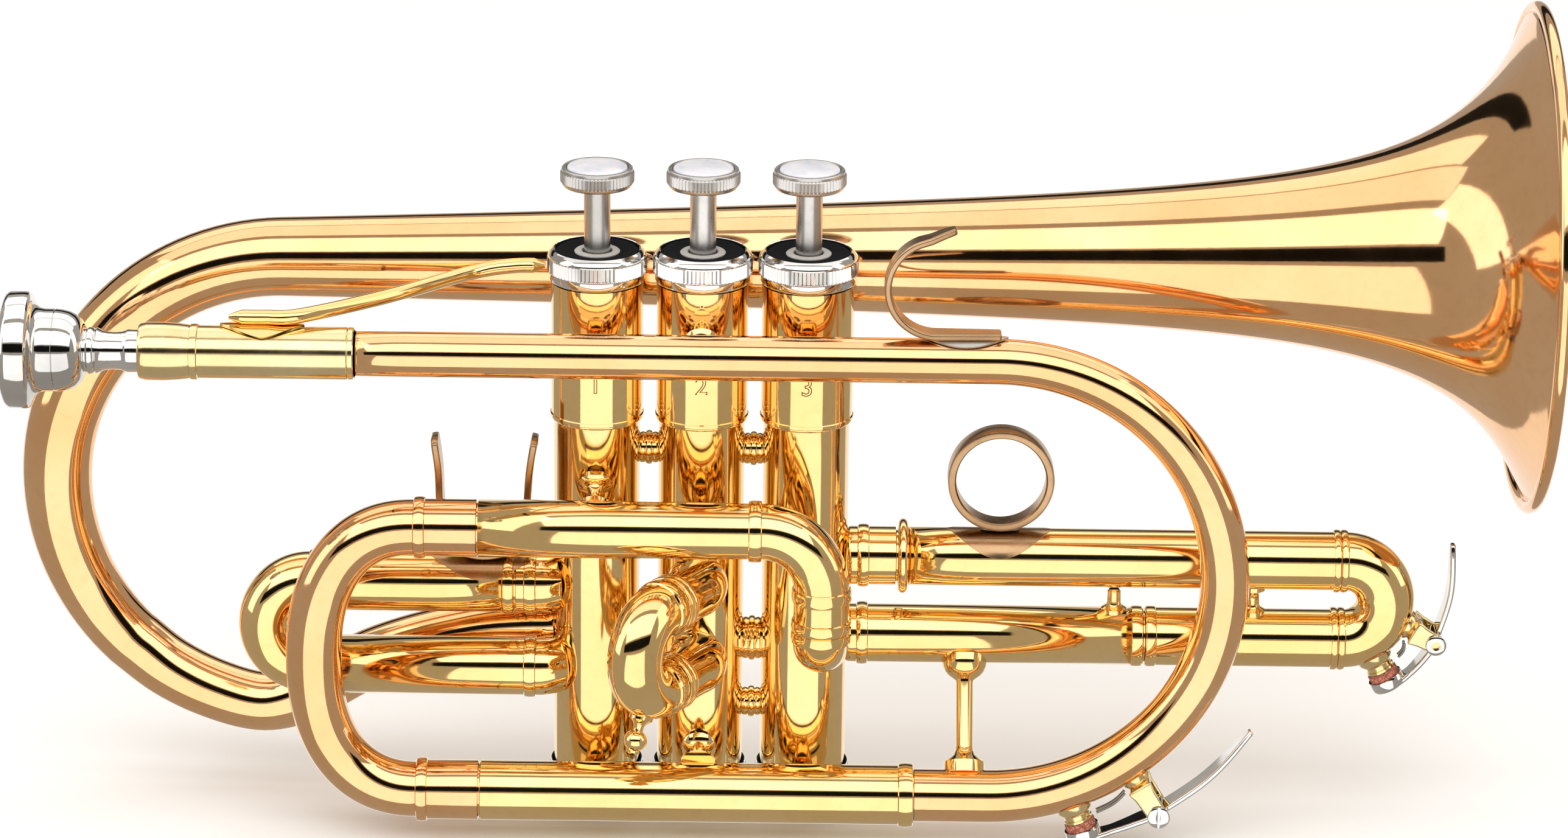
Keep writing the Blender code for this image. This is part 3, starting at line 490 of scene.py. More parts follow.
def ribbed_felt(name, dark, fibre):
    finish = Finish(name, roughness=1.0, specular_ior_level=0.15)
    spot = finish.place()
    fuzz = finish.noise(spot, 3.5, 8.0, 0.75)
    tuft = finish.noise(spot, 0.9, 4.0)
    finish.feed("Base Color", finish.mix(finish.ramp(fuzz, 0.5, 0.78), dark, fibre))
    finish.feed("Roughness", 0.85 + 0.15 * fuzz)
    finish.bump(fuzz + tuft, 0.9, 0.35)
    return finish.material


def pearl_finish(name):
    """A pearl disc: cloudy bands that shift from white to cool grey."""
    finish = Finish(name, metallic=0.0, coat_weight=0.5, coat_roughness=0.08)
    spot = finish.place()
    cloud = finish.noise(spot, 0.16, 3.0)
    bands = finish.node("ShaderNodeTexWave", {"wave_type": "BANDS"}, {
        "Vector": spot, "Scale": 0.12, "Distortion": 7.0, "Detail": 3.0}, "Fac")
    white, cool, warm = hex_colour("F2F2F6"), hex_colour("C9CEDC"), hex_colour("F0E4E4")
    body = finish.mix(finish.ramp(cloud, 0.35, 0.7), white, cool)
    finish.feed("Base Color", finish.mix(bands * 0.35, body, warm))
    finish.feed("Roughness", 0.22 + 0.2 * cloud)
    finish.bump(cloud + bands * 0.3, 0.12, 0.05)
    return finish.material


def cork_finish(name):
    finish = Finish(name, roughness=0.85)
    spot = finish.place()
    cells = finish.node("ShaderNodeTexVoronoi", {"feature": "DISTANCE_TO_EDGE"}, {
        "Vector": spot, "Scale": 1.1}, "Distance")
    pores = finish.ramp(finish.noise(spot, 0.9, 4.0, 0.7), 0.55, 0.68)
    grain = finish.mix(finish.ramp(cells, 0.0, 0.18), hex_colour("7E3F31"), hex_colour("C47A62"))
    finish.feed("Base Color", finish.mix(pores * 0.8, grain, hex_colour("5A2B22")))
    finish.feed("Roughness", 0.75 + 0.2 * pores)
    finish.bump(cells - pores * 0.5, 0.7, 0.2)
    return finish.material


def nylon_finish(name):
    finish = Finish(name, specular_ior_level=0.4)
    spot = finish.place()
    haze = finish.noise(spot, 0.5, 3.0)
    finish.feed("Base Color", finish.mix(haze, hex_colour("EDE9DA"), hex_colour("D8D1BB")))
    finish.feed("Roughness", 0.4 + 0.2 * haze)
    finish.bump(finish.noise(spot, 3.0, 3.0), 0.2, 0.05)
    return finish.material


FINISHES = {}


def make_finishes(sizes):
    """Every finish of the instrument, by the name of its slot or its piece."""
    gold = colour(*sizes.gold_brass)
    deep_gold = colour(*sizes.gold_shadow)
    yellow = colour(*sizes.yellow_brass)
    deep_yellow = colour(*sizes.yellow_shadow)
    silver = colour(*sizes.silver)
    polish = sizes.polish
    FINISHES.update({
        "gold_brass": polished_metal("gold_brass_lacquer", gold, deep_gold, polish, 0.03, 0.25),
        "yellow_brass": polished_metal("yellow_brass_lacquer", yellow, deep_yellow, polish,
                                       0.03, 0.25),
        "pale_brass": polished_metal("pale_brass_lacquer", hex_colour("F6E2B4"),
                                     hex_colour("E8CB8C"), polish * 2.2, 0.04, 0.2),
        "silver_plate": polished_metal("silver_plate_buffed", silver, hex_colour("C9C7C4"),
                                       polish * 0.9, 0.03),
        "satin_silver": polished_metal("satin_silver_plate", hex_colour("DAD8D5"),
                                       hex_colour("B9B6B2"), 0.24, 0.05),
        "nickel_silver": polished_metal("nickel_silver_satin", hex_colour("C6A47E"),
                                        hex_colour("9C7A58"), 0.2, 0.05),
        "monel": polished_metal("monel_lapped", hex_colour("C2BFBA"), hex_colour("A3A09A"),
                                0.2, 0.04),
        "spring_steel": polished_metal("spring_steel_drawn", hex_colour("A9A7A3"),
                                       hex_colour("77746F"), 0.28, 0.05),
        "engraving": polished_metal("engraved_line", hex_colour("8A5A26"),
                                    hex_colour("6A4118"), 0.35, 0.05),
        "pearl": pearl_finish("pearl_disc"),
        "black_felt": ribbed_felt("black_cap_felt", colour(0.006, 0.006, 0.007),
                                  colour(0.03, 0.03, 0.034)),
        "white_felt": ribbed_felt("white_stem_felt", hex_colour("CFCBC6"), hex_colour("F4F2EE")),
        "cork": cork_finish("key_cork"),
        "nylon": nylon_finish("guide_nylon"),
    })


# Sizes and colours that a user would change


def length(name, description, default):
    return bpy.props.FloatProperty(name=name, description=description, default=default * MM,
                                   unit="LENGTH")


def tint(name, description, default):
    return bpy.props.FloatVectorProperty(name=name, description=description, default=default,
                                         subtype="COLOR", size=3, min=0.0, max=1.0)


class CornetTrim(bpy.types.PropertyGroup):
    """Sizes of the turned and knurled trim"""

    ferrule_rise: length("Ferrule rise", "How far a ferrule's beads stand off their tube", 0.5)
    knurl_depth: length("Knurl depth", "Depth of the ridges on caps and buttons", 0.45)
    cap_teeth: bpy.props.IntProperty(name="Cap teeth", default=72, min=12,
                                     description="Ridges round each top and bottom cap")
    button_teeth: bpy.props.IntProperty(name="Button teeth", default=60, min=12,
                                        description="Ridges round each finger button")
    numeral_height: length("Numeral height", "Height of the valve numbers", 4.6)


class CornetColours(bpy.types.PropertyGroup):
    """Colours and polish of the finishes"""

    gold_brass: tint("Gold brass", "Bell, crook and leadpipe", (0.97, 0.59, 0.30))
    gold_shadow: tint("Gold brass, deep", "Its deeper patches", (0.92, 0.51, 0.23))
    yellow_brass: tint("Yellow brass", "Casings and valve slides", (0.96, 0.68, 0.31))
    yellow_shadow: tint("Yellow brass, deep", "Its deeper patches", (0.91, 0.61, 0.24))
    silver: tint("Silver", "Mouthpiece, caps and keys", (0.93, 0.92, 0.90))
    polish: bpy.props.FloatProperty(name="Polish", default=0.055, min=0.01, max=0.5,
                                    description="Roughness of a buffed surface",
                                    subtype="FACTOR")


class CornetStudio(bpy.types.PropertyGroup):
    """Lights and camera"""

    distance: length("Camera distance", "From the camera to the point it looks at", 1270)
    elevation: bpy.props.FloatProperty(name="Elevation", default=radians(19),
                                       description="Camera height above the horizon",
                                       subtype="ANGLE")
    roll: bpy.props.FloatProperty(name="Roll", default=radians(0.72),
                                  description="Turn of the camera about its line of sight",
                                  subtype="ANGLE")
    lens: bpy.props.FloatProperty(name="Lens", default=126.9, description="Focal length",
                                  subtype="DISTANCE_CAMERA")
    softbox_glow: bpy.props.FloatProperty(name="Softbox glow", default=1.0, min=0.0,
                                          description="Brightness of the softboxes")
    world_glow: bpy.props.FloatProperty(name="World glow", default=0.42, min=0.0,
                                        description="Brightness of the studio's walls")


# The bell


CROOK_X = -97.2
CROOK_RADIUS = 54.4
TAIL_TUBE = 6.4
TAIL_START = 226
CROOK_END = 262
CROOK_DRIFT = 7.0
BELL_TILT = 0.72
RIM_BEAD = 1.6
RIM_RADIUS = 59.5


def bell_axis(x):
    return Vector((x, middle_of("bell_flare").y, 30.7 + x * tan(radians(BELL_TILT))))


def bell_radius(x):
    """Outer radius: a slow cone plus a flare that grows like a power towards the rim."""
    return 9.54 + 0.0178 * x + 11757 * (221.1 - x) ** -1.652


def crook_point(angle):
    """A point on the crook's circle, which drifts towards the valves as it turns."""
    start = bell_axis(CROOK_X)
    share = (angle - 90 - BELL_TILT) / (CROOK_END - 90 - BELL_TILT)
    x, z = polar((start.x, start.z - CROOK_RADIUS), CROOK_RADIUS, angle)
    return Vector((x, start.y - CROOK_DRIFT * share ** 2, z)), share


def bell_run():
    """Points and radii from the rim back round the crook to the first casing."""
    rim = node_box("bell_flare")[1].x - RIM_BEAD
    xs = [rim - (rim - 60) * (i / 44) ** 1.5 for i in range(45)]
    xs += [60 - (60 - CROOK_X) * i / 24 for i in range(1, 24)]
    run = [(bell_axis(x), bell_radius(x)) for x in xs]
    run[0] = (run[0][0], run[0][1] - 0.4)
    steps = 48
    wide = bell_radius(CROOK_X)
    for i in range(steps + 1):
        point, share = crook_point(90 + BELL_TILT + (TAIL_START - 90 - BELL_TILT) * i / steps)
        run.append((point, wide * (1 - share) + TAIL_TUBE * share))
    first = run[-1][1]
    knots = [crook_point(angle)[0] for angle in (TAIL_START, 238, 250, CROOK_END)]
    knots += [(-96.0, 16.2, -77.2), (-88.0, 15.2, -72.6), (-78.0, 13.5, -66.2),
              (-66.0, 11.1, -60.9), (-52.0, 8.8, -56.7), (-42.0, 7.2, -54.9)]
    wall = Vector((VALVES[0], 0, -54.1))
    out = Vector((-cos(radians(33)), sin(radians(33)), 0))
    knots += [wall + out * 10.6, wall + out * 8.9]
    tail = smooth_path(knots, 6)[1:]
    for i, point in enumerate(tail):
        taper = max(0.0, 1 - i / 20)
        close = max(0.0, 1 - (len(tail) - 1 - i) / 7) ** 2.2
        run.append((point, TAIL_TUBE + (first - TAIL_TUBE) * taper - 2.0 * close))
    return run


class CORNET_OT_bell(bpy.types.Operator):
    """Spin the bell and its crook as one tapered tube, with the rolled rim and tail ferrules"""

    bl_idname = "cornet.bell"
    bl_label = "Bell"

    def execute(self, context):
        bell = tube_of("bell", bell_run(), 68)
        finished(bell, "gold_brass", "bell_flare", "bell_crook")
        rim = node_box("bell_flare")[1].x
        radius = RIM_RADIUS - RIM_BEAD
        section = [(radius + RIM_BEAD * cos(tau * i / 14), RIM_BEAD * sin(tau * i / 14))
                   for i in range(15)]
        bead = turned("bell_rim_bead", bell_axis(rim - RIM_BEAD), (1, 0, 0), section, 160, 60)
        finished(bead, "gold_brass")
        start = Vector((-41.6, 7.1, -54.85))
        along = (Vector((-52.0, 8.8, -56.7)) - start).normalized()
        rings = ferrule("bell_tail_ferrule", start, along, TAIL_TUBE, 5.4, 2)
        finished(rings, "yellow_brass")
        return {"FINISHED"}


class CORNET_OT_mouthpiece(bpy.types.Operator):
    """Turn the mouthpiece: rim, cup, beads, waist and shank, bored through"""

    bl_idname = "cornet.mouthpiece"
    bl_label = "Mouthpiece"

    def execute(self, context):
        low, high = node_box("mouthpiece")
        span = high.x - low.x
        outer = [(8.6, 0.8), (9.2, 0.25), (10.2, 0), (11.3, 0.12), (12.3, 0.5), (12.95, 1.05),
                 (13.25, 1.8), (13.25, 5.2), (13.05, 6.0), (12.4, 6.5), (11.6, 6.75),
                 (10.4, 7.3), (9.6, 8.2), (9.35, 9.4), (9.35, 11.6), (9.2, 11.75), (9.35, 11.9),
                 (9.2, 13.4), (8.8, 15.0), (8.1, 16.4), (7.0, 17.6), (5.6, 18.3), (4.9, 18.5),
                 (4.9, 18.8), (5.25, 19.2), (5.3, 19.8), (5.05, 20.4), (4.85, 20.6),
                 (5.05, 20.8), (5.2, 21.1), (4.95, 21.6), (4.5, 22.4), (4.25, 23.6),
                 (4.2, 25.2), (4.35, 26.6), (4.7, 27.6), (4.9, 28.0), (4.85, 29.0),
                 (4.4, span - 0.2), (4.2, span)]
        inner = [(3.8, span), (3.2, span - 12), (2.3, 26.0), (1.9, 24.0), (2.2, 20.0),
                 (3.6, 16.4), (5.6, 13.0), (7.0, 9.0), (7.9, 4.0), (8.3, 1.8), (8.6, 0.8)]
        piece = turned("mouthpiece_turned", (low.x, LEADPIPE_Y, LEADPIPE_Z), (1, 0, 0),
                       outer + inner, 80, 30)
        finished(piece, "silver_plate", "mouthpiece", body="mouthpiece")
        return {"FINISHED"}


# Leadpipe, front bow, tuning slide


class CORNET_OT_leadpipe(bpy.types.Operator):
    """Draw the leadpipe and its front bow, with the receiver and the lower ferrule"""

    bl_idname = "cornet.leadpipe"
    bl_label = "Leadpipe"

    def execute(self, context):
        mouth, end = (corner.x for corner in node_box("mouthpiece_receiver"))
        span = end - mouth
        bore = 5.2
        profile = [(bore, 0.2), (5.6, 0), (6.1, 0.15), (6.35, 0.6), (6.6, 2.0), (6.6, 6.0),
                   (6.4, 9.0), (6.15, 11.2), (6.02, 11.6), (6.3, 11.8), (6.36, 12.2),
                   (6.36, 12.9), (6.3, 13.3), (6.0, 13.5), (5.98, 14.0), (5.95, 30.0),
                   (5.95, span - 1.6), (5.8, span - 1.4), (5.95, span - 1.2),
                   (5.9, span - 0.25), (5.65, span), (5.45, span), (5.45, span - 8),
                   (bore, span - 9), (bore, 0.2)]
        receiver = turned("receiver", (mouth, LEADPIPE_Y, LEADPIPE_Z), (1, 0, 0), profile, 64,
                          30)
        finished(receiver, "pale_brass", "mouthpiece_receiver")

        start, centre = end - 7, (BOW_X, LEADPIPE_Y, LEADPIPE_Z - BOW_RADIUS)
        points = [Vector((start + (BOW_X - start) * i / 8, LEADPIPE_Y, LEADPIPE_Z))
                  for i in range(8)]
        radii = [LEADPIPE_TUBE] * 8
        steps = 72
        points += arc(centre, (1, 0, 0), (0, 0, 1), BOW_RADIUS, 90, -90, steps)
        radii += [LEADPIPE_TUBE + (BOW_TUBE - LEADPIPE_TUBE) * i / steps
                  for i in range(steps + 1)]
        sleeve_end = node_box("lower_outer_sleeve")[1].x
        points += [(sleeve_end + 0.4, LEADPIPE_Y, LOWER_LEG_Z),
                   (sleeve_end + 0.3, LEADPIPE_Y, LOWER_LEG_Z),
                   (sleeve_end - 6, LEADPIPE_Y, LOWER_LEG_Z)]
        radii += [BOW_TUBE, 5.6, 5.6]
        pipe = tube("leadpipe_and_bow", points, radii, 48, False, WALL)
        finished(pipe, "gold_brass", "leadpipe")
        ring = ferrule("front_bow_ferrule", (sleeve_end - 3.4, LEADPIPE_Y, LOWER_LEG_Z),
                       (1, 0, 0), LOWER_SLEEVE, 3.6)
        finished(ring, "yellow_brass")
        return {"FINISHED"}


UPPER_LEG_Z = -20.5
UPPER_SLEEVE = 6.6
LOWER_SLEEVE = 6.9
ENTRY_TUBE = UPPER_SLEEVE - 0.2
ENTRY_RADIUS = 14.0
ENTRY_Z = -50.5


class CORNET_OT_tuning_slide(bpy.types.Operator):
    """Draw the main tuning slide, the two sleeves that it runs in and the valve entry"""

    bl_idname = "cornet.tuning_slide"
    bl_label = "Tuning slide"

    def execute(self, context):
        y = LEADPIPE_Y
        start, end = (corner.x for corner in node_box("lower_outer_sleeve"))
        lower = sleeve("lower_sleeve", (start, y, LOWER_LEG_Z), (1, 0, 0), end - start,
                       LOWER_SLEEVE)
        finished(lower, "yellow_brass", "lower_outer_sleeve")

        entry_x = VALVES[2] + 3.94
        points = [(start, y, UPPER_LEG_Z), (start + 30, y, UPPER_LEG_Z)]
        points += arc((entry_x - ENTRY_RADIUS, y, UPPER_LEG_Z - ENTRY_RADIUS), (1, 0, 0),
                      (0, 0, 1), ENTRY_RADIUS, 90, 0, 24)
        turn = UPPER_SLEEVE + 1.5
        points += arc((entry_x, y + turn, ENTRY_Z + turn), (0, -1, 0), (0, 0, -1), turn, 0, 90,
                      20)
        points.append((entry_x - 1, -10.4, ENTRY_Z))
        radii = [UPPER_SLEEVE] * 2 + [ENTRY_TUBE] * (len(points) - 3)
        radii.append(UPPER_SLEEVE - 1.4)
        upper = tube("upper_sleeve_and_entry", points, radii, ROUND, False, WALL)
        finished(upper, "yellow_brass", "upper_outer_sleeve")
        bands = [ferrule("upper_sleeve_ferrule", (11.2, y, UPPER_LEG_Z), (1, 0, 0),
                         UPPER_SLEEVE, 3.0, share=LOW_BEAD)]
        for drop, width, count in ((0.6, 3.2, 1), (8.2, 5.6, 2)):
            at = (entry_x, y, UPPER_LEG_Z - ENTRY_RADIUS + 1.2 - drop)
            bands.append(ferrule("entry_band", at, (0, 0, -1), ENTRY_TUBE, width, count,
                                 LOW_BEAD))
        rings = joined(bands)
        finished(rings, "yellow_brass")

        self.slide(y, start)
        return {"FINISHED"}

    def slide(self, y, start):
        half = (UPPER_LEG_Z - LOWER_LEG_Z) / 2
        middle = (UPPER_LEG_Z + LOWER_LEG_Z) / 2
        bow_x, depth, power, tube_radius = -64.7, 23.5, 2 / 2.3, 6.4
        face = start - 0.3
        inserted = start + 40
        points = [(inserted, y, UPPER_LEG_Z), (face, y, UPPER_LEG_Z),
                  (face - 0.15, y, UPPER_LEG_Z), (bow_x + 1, y, UPPER_LEG_Z)]
        radii = [5.8, 5.8, UPPER_SLEEVE, UPPER_SLEEVE]
        steps = 64
        for i in range(steps + 1):
            angle = pi / 2 - pi * i / steps
            side = 1 if angle > 0 else -1
            x = bow_x - depth * max(cos(angle), 0) ** power
            points.append((x, y, middle + side * half * abs(sin(angle)) ** power))
            radii.append(tube_radius)
        points += [(bow_x + 1, y, LOWER_LEG_Z), (face - 0.15, y, LOWER_LEG_Z),
                   (face, y, LOWER_LEG_Z), (inserted, y, LOWER_LEG_Z)]
        radii += [LOWER_SLEEVE, LOWER_SLEEVE, 6.1, 6.1]
        bow = tube("tuning_slide_bow", points, radii, ROUND, False, WALL)
        finished(bow, "gold_brass", "main_tuning_slide", body="main_tuning_slide")
        rings = joined([ferrule("tuning_slide_ferrules", (bow_x - 0.2, y, z), (1, 0, 0), radius,
                                2.6, share=LOW_BEAD)
                        for z, radius in ((UPPER_LEG_Z, UPPER_SLEEVE),
                                          (LOWER_LEG_Z, LOWER_SLEEVE))])
        finished(rings, "gold_brass", body="main_tuning_slide")


# Valves


class CORNET_OT_valves(bpy.types.Operator):
    """Turn one valve's casing, caps, felt, stem, button and pearl, and copy them for the rest"""

    bl_idname = "cornet.valves"
    bl_label = "Valves"

    def execute(self, context):
        makers = ((self.casing, "casing", "valve_casing", "yellow_brass", False),
                  (self.top_cap, "cap", "top_cap", "silver_plate", False),
                  (self.bottom_cap, "foot_cap", "bottom_cap", "silver_plate", False),
                  (self.felt, "felt", "cap_felt", "black_felt", False),
                  (self.stem, "stem", "valve_stem", "satin_silver", True),
                  (self.inlay, "button_pearl", "pearl", "pearl", True))
        for make, name, node, finish, moves in makers:
            first = make()
            for number, x in enumerate(VALVES, 1):
                piece = copied(first, f"{name}_{number}", (x - VALVES[0], 0, 0))
                finished(piece, finish, f"{node}_{number}",
                         body=f"valve_{number}" if moves else "root")
            bpy.data.objects.remove(first)
        washer = turned("stem_felt", (VALVES[0], 0, 38.9), (0, 0, 1),
                        [(3.5, 0), (5.1, 0), (5.2, 0.45), (4.9, 0.7), (4.0, 0.78), (3.5, 0.65),
                         (3.5, 0)], 48)
        for number, x in enumerate(VALVES, 1):
            piece = copied(washer, f"stem_felt_{number}", (x - VALVES[0], 0, 0))
            finished(piece, "white_felt")
        bpy.data.objects.remove(washer)
        self.numerals()
        return {"FINISHED"}

    def turn_on_valve(self, name, profile, steps, angle=35):
        return turned(name, (VALVES[0], 0, 0), (0, 0, 1), profile, steps, angle)

    def ridged(self, name, profile, teeth, low, high, reach, share=1.0):
        """A piece on the first valve's axis with ridges between two heights."""
        piece = self.turn_on_valve(name, profile, teeth * 4, 30)
        return knurl(piece, (VALVES[0], 0, 0), low, high, reach, teeth,
                     trim().knurl_depth / MM * share)

    def casing(self):
        bore = 8.85
        profile = [(bore, 35.9), (9.7, 36.0), (9.8, 35.8), (9.8, 32.4), (10.5, 32.35),
                   (10.5, 1.2), (10.75, 1.0), (10.75, 0.35), (10.5, 0.15), (10.5, -0.1),
                   (10.3, -0.35), (9.95, -0.45), (9.9, -0.6), (9.9, -87.8), (9.8, -87.9),
                   (bore, -87.9), (bore, 35.9)]
        return self.turn_on_valve("casing_first", profile, 96)

    def top_cap(self):
        top, rim = 40.0, 11.4
        profile = [(9.8, 39.9), (9.95, top), (10.5, 39.6), (11.15, 38.85), (11.3, 38.35),
                   (11.3, 38.2), (rim, 38.1), (rim, 37.2), (rim, 36.2), (rim, 35.1),
                   (11.3, 34.95), (11.0, 34.75), (10.85, 34.6), (10.85, 33.1),
                   (10.7, 32.75), (10.2, 32.7), (10.2, 36.3), (3.5, 36.3), (3.5, 38.0),
                   (9.8, 38.0), (9.8, 39.9)]
        return self.ridged("cap_first", profile, trim().cap_teeth, 35.05, 38.15, 11.35)

    def bottom_cap(self):
        low, rim = -92.0, 10.9
        profile = [(10.2, -84.95), (10.6, -84.9), (10.7, -85.2), (10.7, -85.8), (rim, -86.0),
                   (rim, -87.4), (rim, -89.0), (10.7, -89.3), (10.6, -89.8), (10.2, -90.8),
                   (9.2, -91.6), (8.7, low), (3.4, low), (3.2, low - 0.9), (2.6, low - 1.5),
                   (1.4, low - 1.6), (1.2, low - 1.4), (1.2, -90.4), (8.6, -90.4),
                   (10.2, -89.0), (10.2, -84.95)]
        return self.ridged("foot_cap_first", profile, trim().cap_teeth, -89.1, -85.9, 10.85)

    def felt(self):
        profile = [(3.5, 39.0), (3.5, 38.1), (9.55, 38.1), (9.6, 39.3), (9.2, 39.65),
                   (8.4, 39.6), (6.5, 39.25), (4.5, 39.05), (3.5, 39.0)]
        return self.turn_on_valve("felt_first", profile, 64)

    def stem(self):
        low, high = (corner.z for corner in node_box("valve_stem_1"))
        rim, button = 8.4, high - 4.5
        profile = [(0, high - 1.2), (7.15, high - 1.2), (7.15, high - 0.15), (7.3, high),
                   (7.75, high), (8.05, high - 0.25), (8.1, high - 0.65), (7.95, high - 0.85),
                   (8.1, high - 1.0), (rim, high - 1.15), (rim, high - 2.2),
                   (rim, high - 3.3), (8.1, high - 3.55), (8.0, high - 3.9), (7.6, button + 0.1),
                   (7.0, button), (3.4, button), (3.05, button - 0.3), (3.0, button - 0.8),
                   (3.0, low + 0.3), (2.7, low), (0, low)]
        return self.ridged("stem_first", profile, trim().button_teeth, high - 3.4, high - 1.1,
                           8.35, 0.8)

    def inlay(self):
        low, high = (corner.z for corner in node_box("pearl_1"))
        edge = high - 0.6
        profile = [(0, low), (6.9, low), (6.9, edge - 0.15), (6.75, edge + 0.1),
                   (5.6, edge + 0.32), (3.6, edge + 0.5), (1.8, high - 0.03), (0, high)]
        return self.turn_on_valve("pearl_first", profile, 64)

    def numerals(self):
        """Engraved valve numbers, wrapped on the front of each casing."""
        for number, x in enumerate(VALVES, 1):
            deselect()
            bpy.ops.object.text_add(rotation=(pi / 2, 0, 0))
            label = bpy.context.active_object
            label.data.body = str(number)
            label.data.size = trim().numeral_height * 1.3
            label.data.align_x = "CENTER"
            label.data.fill_mode = "NONE"
            label.data.bevel_depth = 0.11 * MM
            label.data.bevel_resolution = 1
            label.data.resolution_u = 6
            bpy.ops.object.convert(target="MESH")
            label = bpy.context.active_object
            label.name = f"numeral_{number}"
            label.data.name = label.name
            bpy.ops.object.transform_apply(location=True, rotation=True, scale=True)
            radius, height = 10.5 * MM, 8.6 * MM
            for vertex in label.data.vertices:
                turn = vertex.co.x / radius
                out = radius - vertex.co.y * 0.4
                vertex.co = (x * MM + out * sin(turn), -out * cos(turn), vertex.co.z + height)
            settle(label, 60)
            finished(label, "engraving")


# Valve slides


SLIDE = 6.8
SLIDE_INNER = 6.0
CASING = 9.9


def root_stations(x, sign, y, z, radius, swing=0):
    """Stations that leave a casing's wall at a swing from X and bend onto a tube along sign."""
    turn = radians(swing)
    out = Vector((sign * cos(turn), -sin(turn), 0))
    wall = Vector((x, 0, z)) + out * (CASING - 1.0)
    knots = [wall, wall + out * 1.5, (x + sign * 12.6, y, z), (x + sign * 15.6, y, z)]
    bend = smooth_path(knots, 6)
    return [(point, radius - 2.4 * max(0.0, 1 - i / 7) ** 2.2) for i, point in enumerate(bend)]


def u_turn(upper, lower, centre, out, up, radius, tube_radius):
    """Stations of a U bow: a run in, a half circle and a run back."""
    bend = [(point, tube_radius) for point in arc(centre, up, out, radius, 0, 180, 36)]
    return upper + bend + lower


class CORNET_OT_first_slide(bpy.types.Operator):
    """Draw the first valve's slide, its fixed tubes, its ferrules and the thumb saddle"""

    bl_idname = "cornet.first_slide"
    bl_label = "First slide"

    def execute(self, context):
        y1, z1, y2, z2 = -3.5, -40.3, -6.0, -59.9
        end = VALVES[0] - 18.84
        sleeve_end = VALVES[0] - 59.94
        bow = VALVES[0] - 66.14
        stations = root_stations(VALVES[0], -1, y1, z1, SLIDE, 14)
        stations += [((end + 0.5, y1, z1), SLIDE), ((end + 0.3, y1, z1), SLIDE_INNER),
                     ((bow + 8, y1, z1), SLIDE_INNER)]
        finished(tube_of("first_upper_tube", stations), "yellow_brass", "first_slide_upper_tube")
        stations = root_stations(VALVES[0], -1, y2, z2, SLIDE, 25)
        stations.append(((sleeve_end, y2, z2), SLIDE))
        finished(tube_of("first_lower_sleeve", stations), "yellow_brass",
                 "first_slide_lower_sleeve")
        up = Vector((0, y1 - y2, z1 - z2))
        upper = [((end, y1, z1), SLIDE), ((end - 20, y1, z1), SLIDE)]
        lower = [((bow + 0.2, y2, z2), SLIDE), ((sleeve_end - 0.5, y2, z2), SLIDE),
                 ((sleeve_end - 0.3, y2, z2), SLIDE_INNER),
                 ((sleeve_end + 28, y2, z2), SLIDE_INNER)]
        centre = (bow, (y1 + y2) / 2, (z1 + z2) / 2)
        stations = u_turn(upper, lower, centre, (-1, 0, 0), up, up.length / 2, SLIDE)
        finished(tube_of("first_slide_u_bow", stations), "yellow_brass", "first_slide_bow",
                 body="first_slide")
        rings = joined([ferrule("first_root_ferrules", (VALVES[0] - 16.6, y, z), (1, 0, 0), SLIDE,
                                2.8, share=LOW_BEAD) for y, z in ((y1, z1), (y2, z2))])
        finished(rings, "yellow_brass")
        rings = joined([ferrule("first_bow_ferrules", (x, y, z), (1, 0, 0), SLIDE, width,
                                share=LOW_BEAD)
                        for x, y, z, width in ((bow - 0.2, y1, z1, 2.4), (bow + 0.6, y2, z2, 4.6),
                                               (end - 2.6, y1, z1, 2.4))])
        finished(rings, "yellow_brass", body="first_slide")
        self.saddle(VALVES[0] - 25.94, y1, z1)
        return {"FINISHED"}

    def saddle(self, x, y, z):
        thickness = 1.6
        foot = z + SLIDE + SOLDER + thickness / 2
        prong = [(-11.2, 28), (-10.9, 26), (-10.2, 20), (-9.6, 9), (-6.5, 2), (-2.5, 0),
                 (2.5, 0), (7.0, 2), (9.6, 9), (10.6, 20), (11.5, 26), (12.0, 28)]
        path = [(point.x, point.y) for point in
                smooth_path([(x + across, foot + rise, 0) for across, rise in prong], 4)]
        last = len(path) - 1
        widths = [8 - 3.2 * max(0.0, 1 - min(i, last - i) / 3) ** 2 for i in range(len(path))]
        piece = strip("thumb_saddle_strap", path, widths, thickness, y, 0.55)
        finished(piece, "nickel_silver", "thumb_saddle", body="first_slide")
        plate = saddle_plate("thumb_saddle_foot", (x, y, z), SLIDE, 13.0, 66, 0.9)
        finished(plate, "nickel_silver", body="first_slide")


def saddle_plate(name, centre, radius, half_length, half_angle, thickness, sharp=2.0,
                 turn=0.0, upright=False):
    """A leaf-shaped plate wrapped on a tube: widest at its middle, pointed at both ends."""
    deselect()
    bpy.ops.mesh.primitive_grid_add(x_subdivisions=28, y_subdivisions=16, size=2)
    piece = bpy.context.active_object
    piece.name = name
    piece.data.name = name
    for vertex in piece.data.vertices:
        along, across = vertex.co.x, vertex.co.y
        width = max(0.04, 1 - abs(along) ** sharp)
        angle = radians(turn + across * half_angle * width)
        out = radius + 0.1
        if upright:
            offset = Vector((out * sin(angle), -out * cos(angle), along * half_length))
        else:
            offset = Vector((along * half_length, out * sin(angle), out * cos(angle)))
        vertex.co = (Vector(centre) + offset) * MM
    settle(piece, 50)
    add_wall(piece, thickness, 1)
    settle(piece, 50)
    return round_edges(piece, thickness * 0.35, 2)


def second_out():
    return Vector((-sin(radians(31)), -cos(radians(31)), 0))


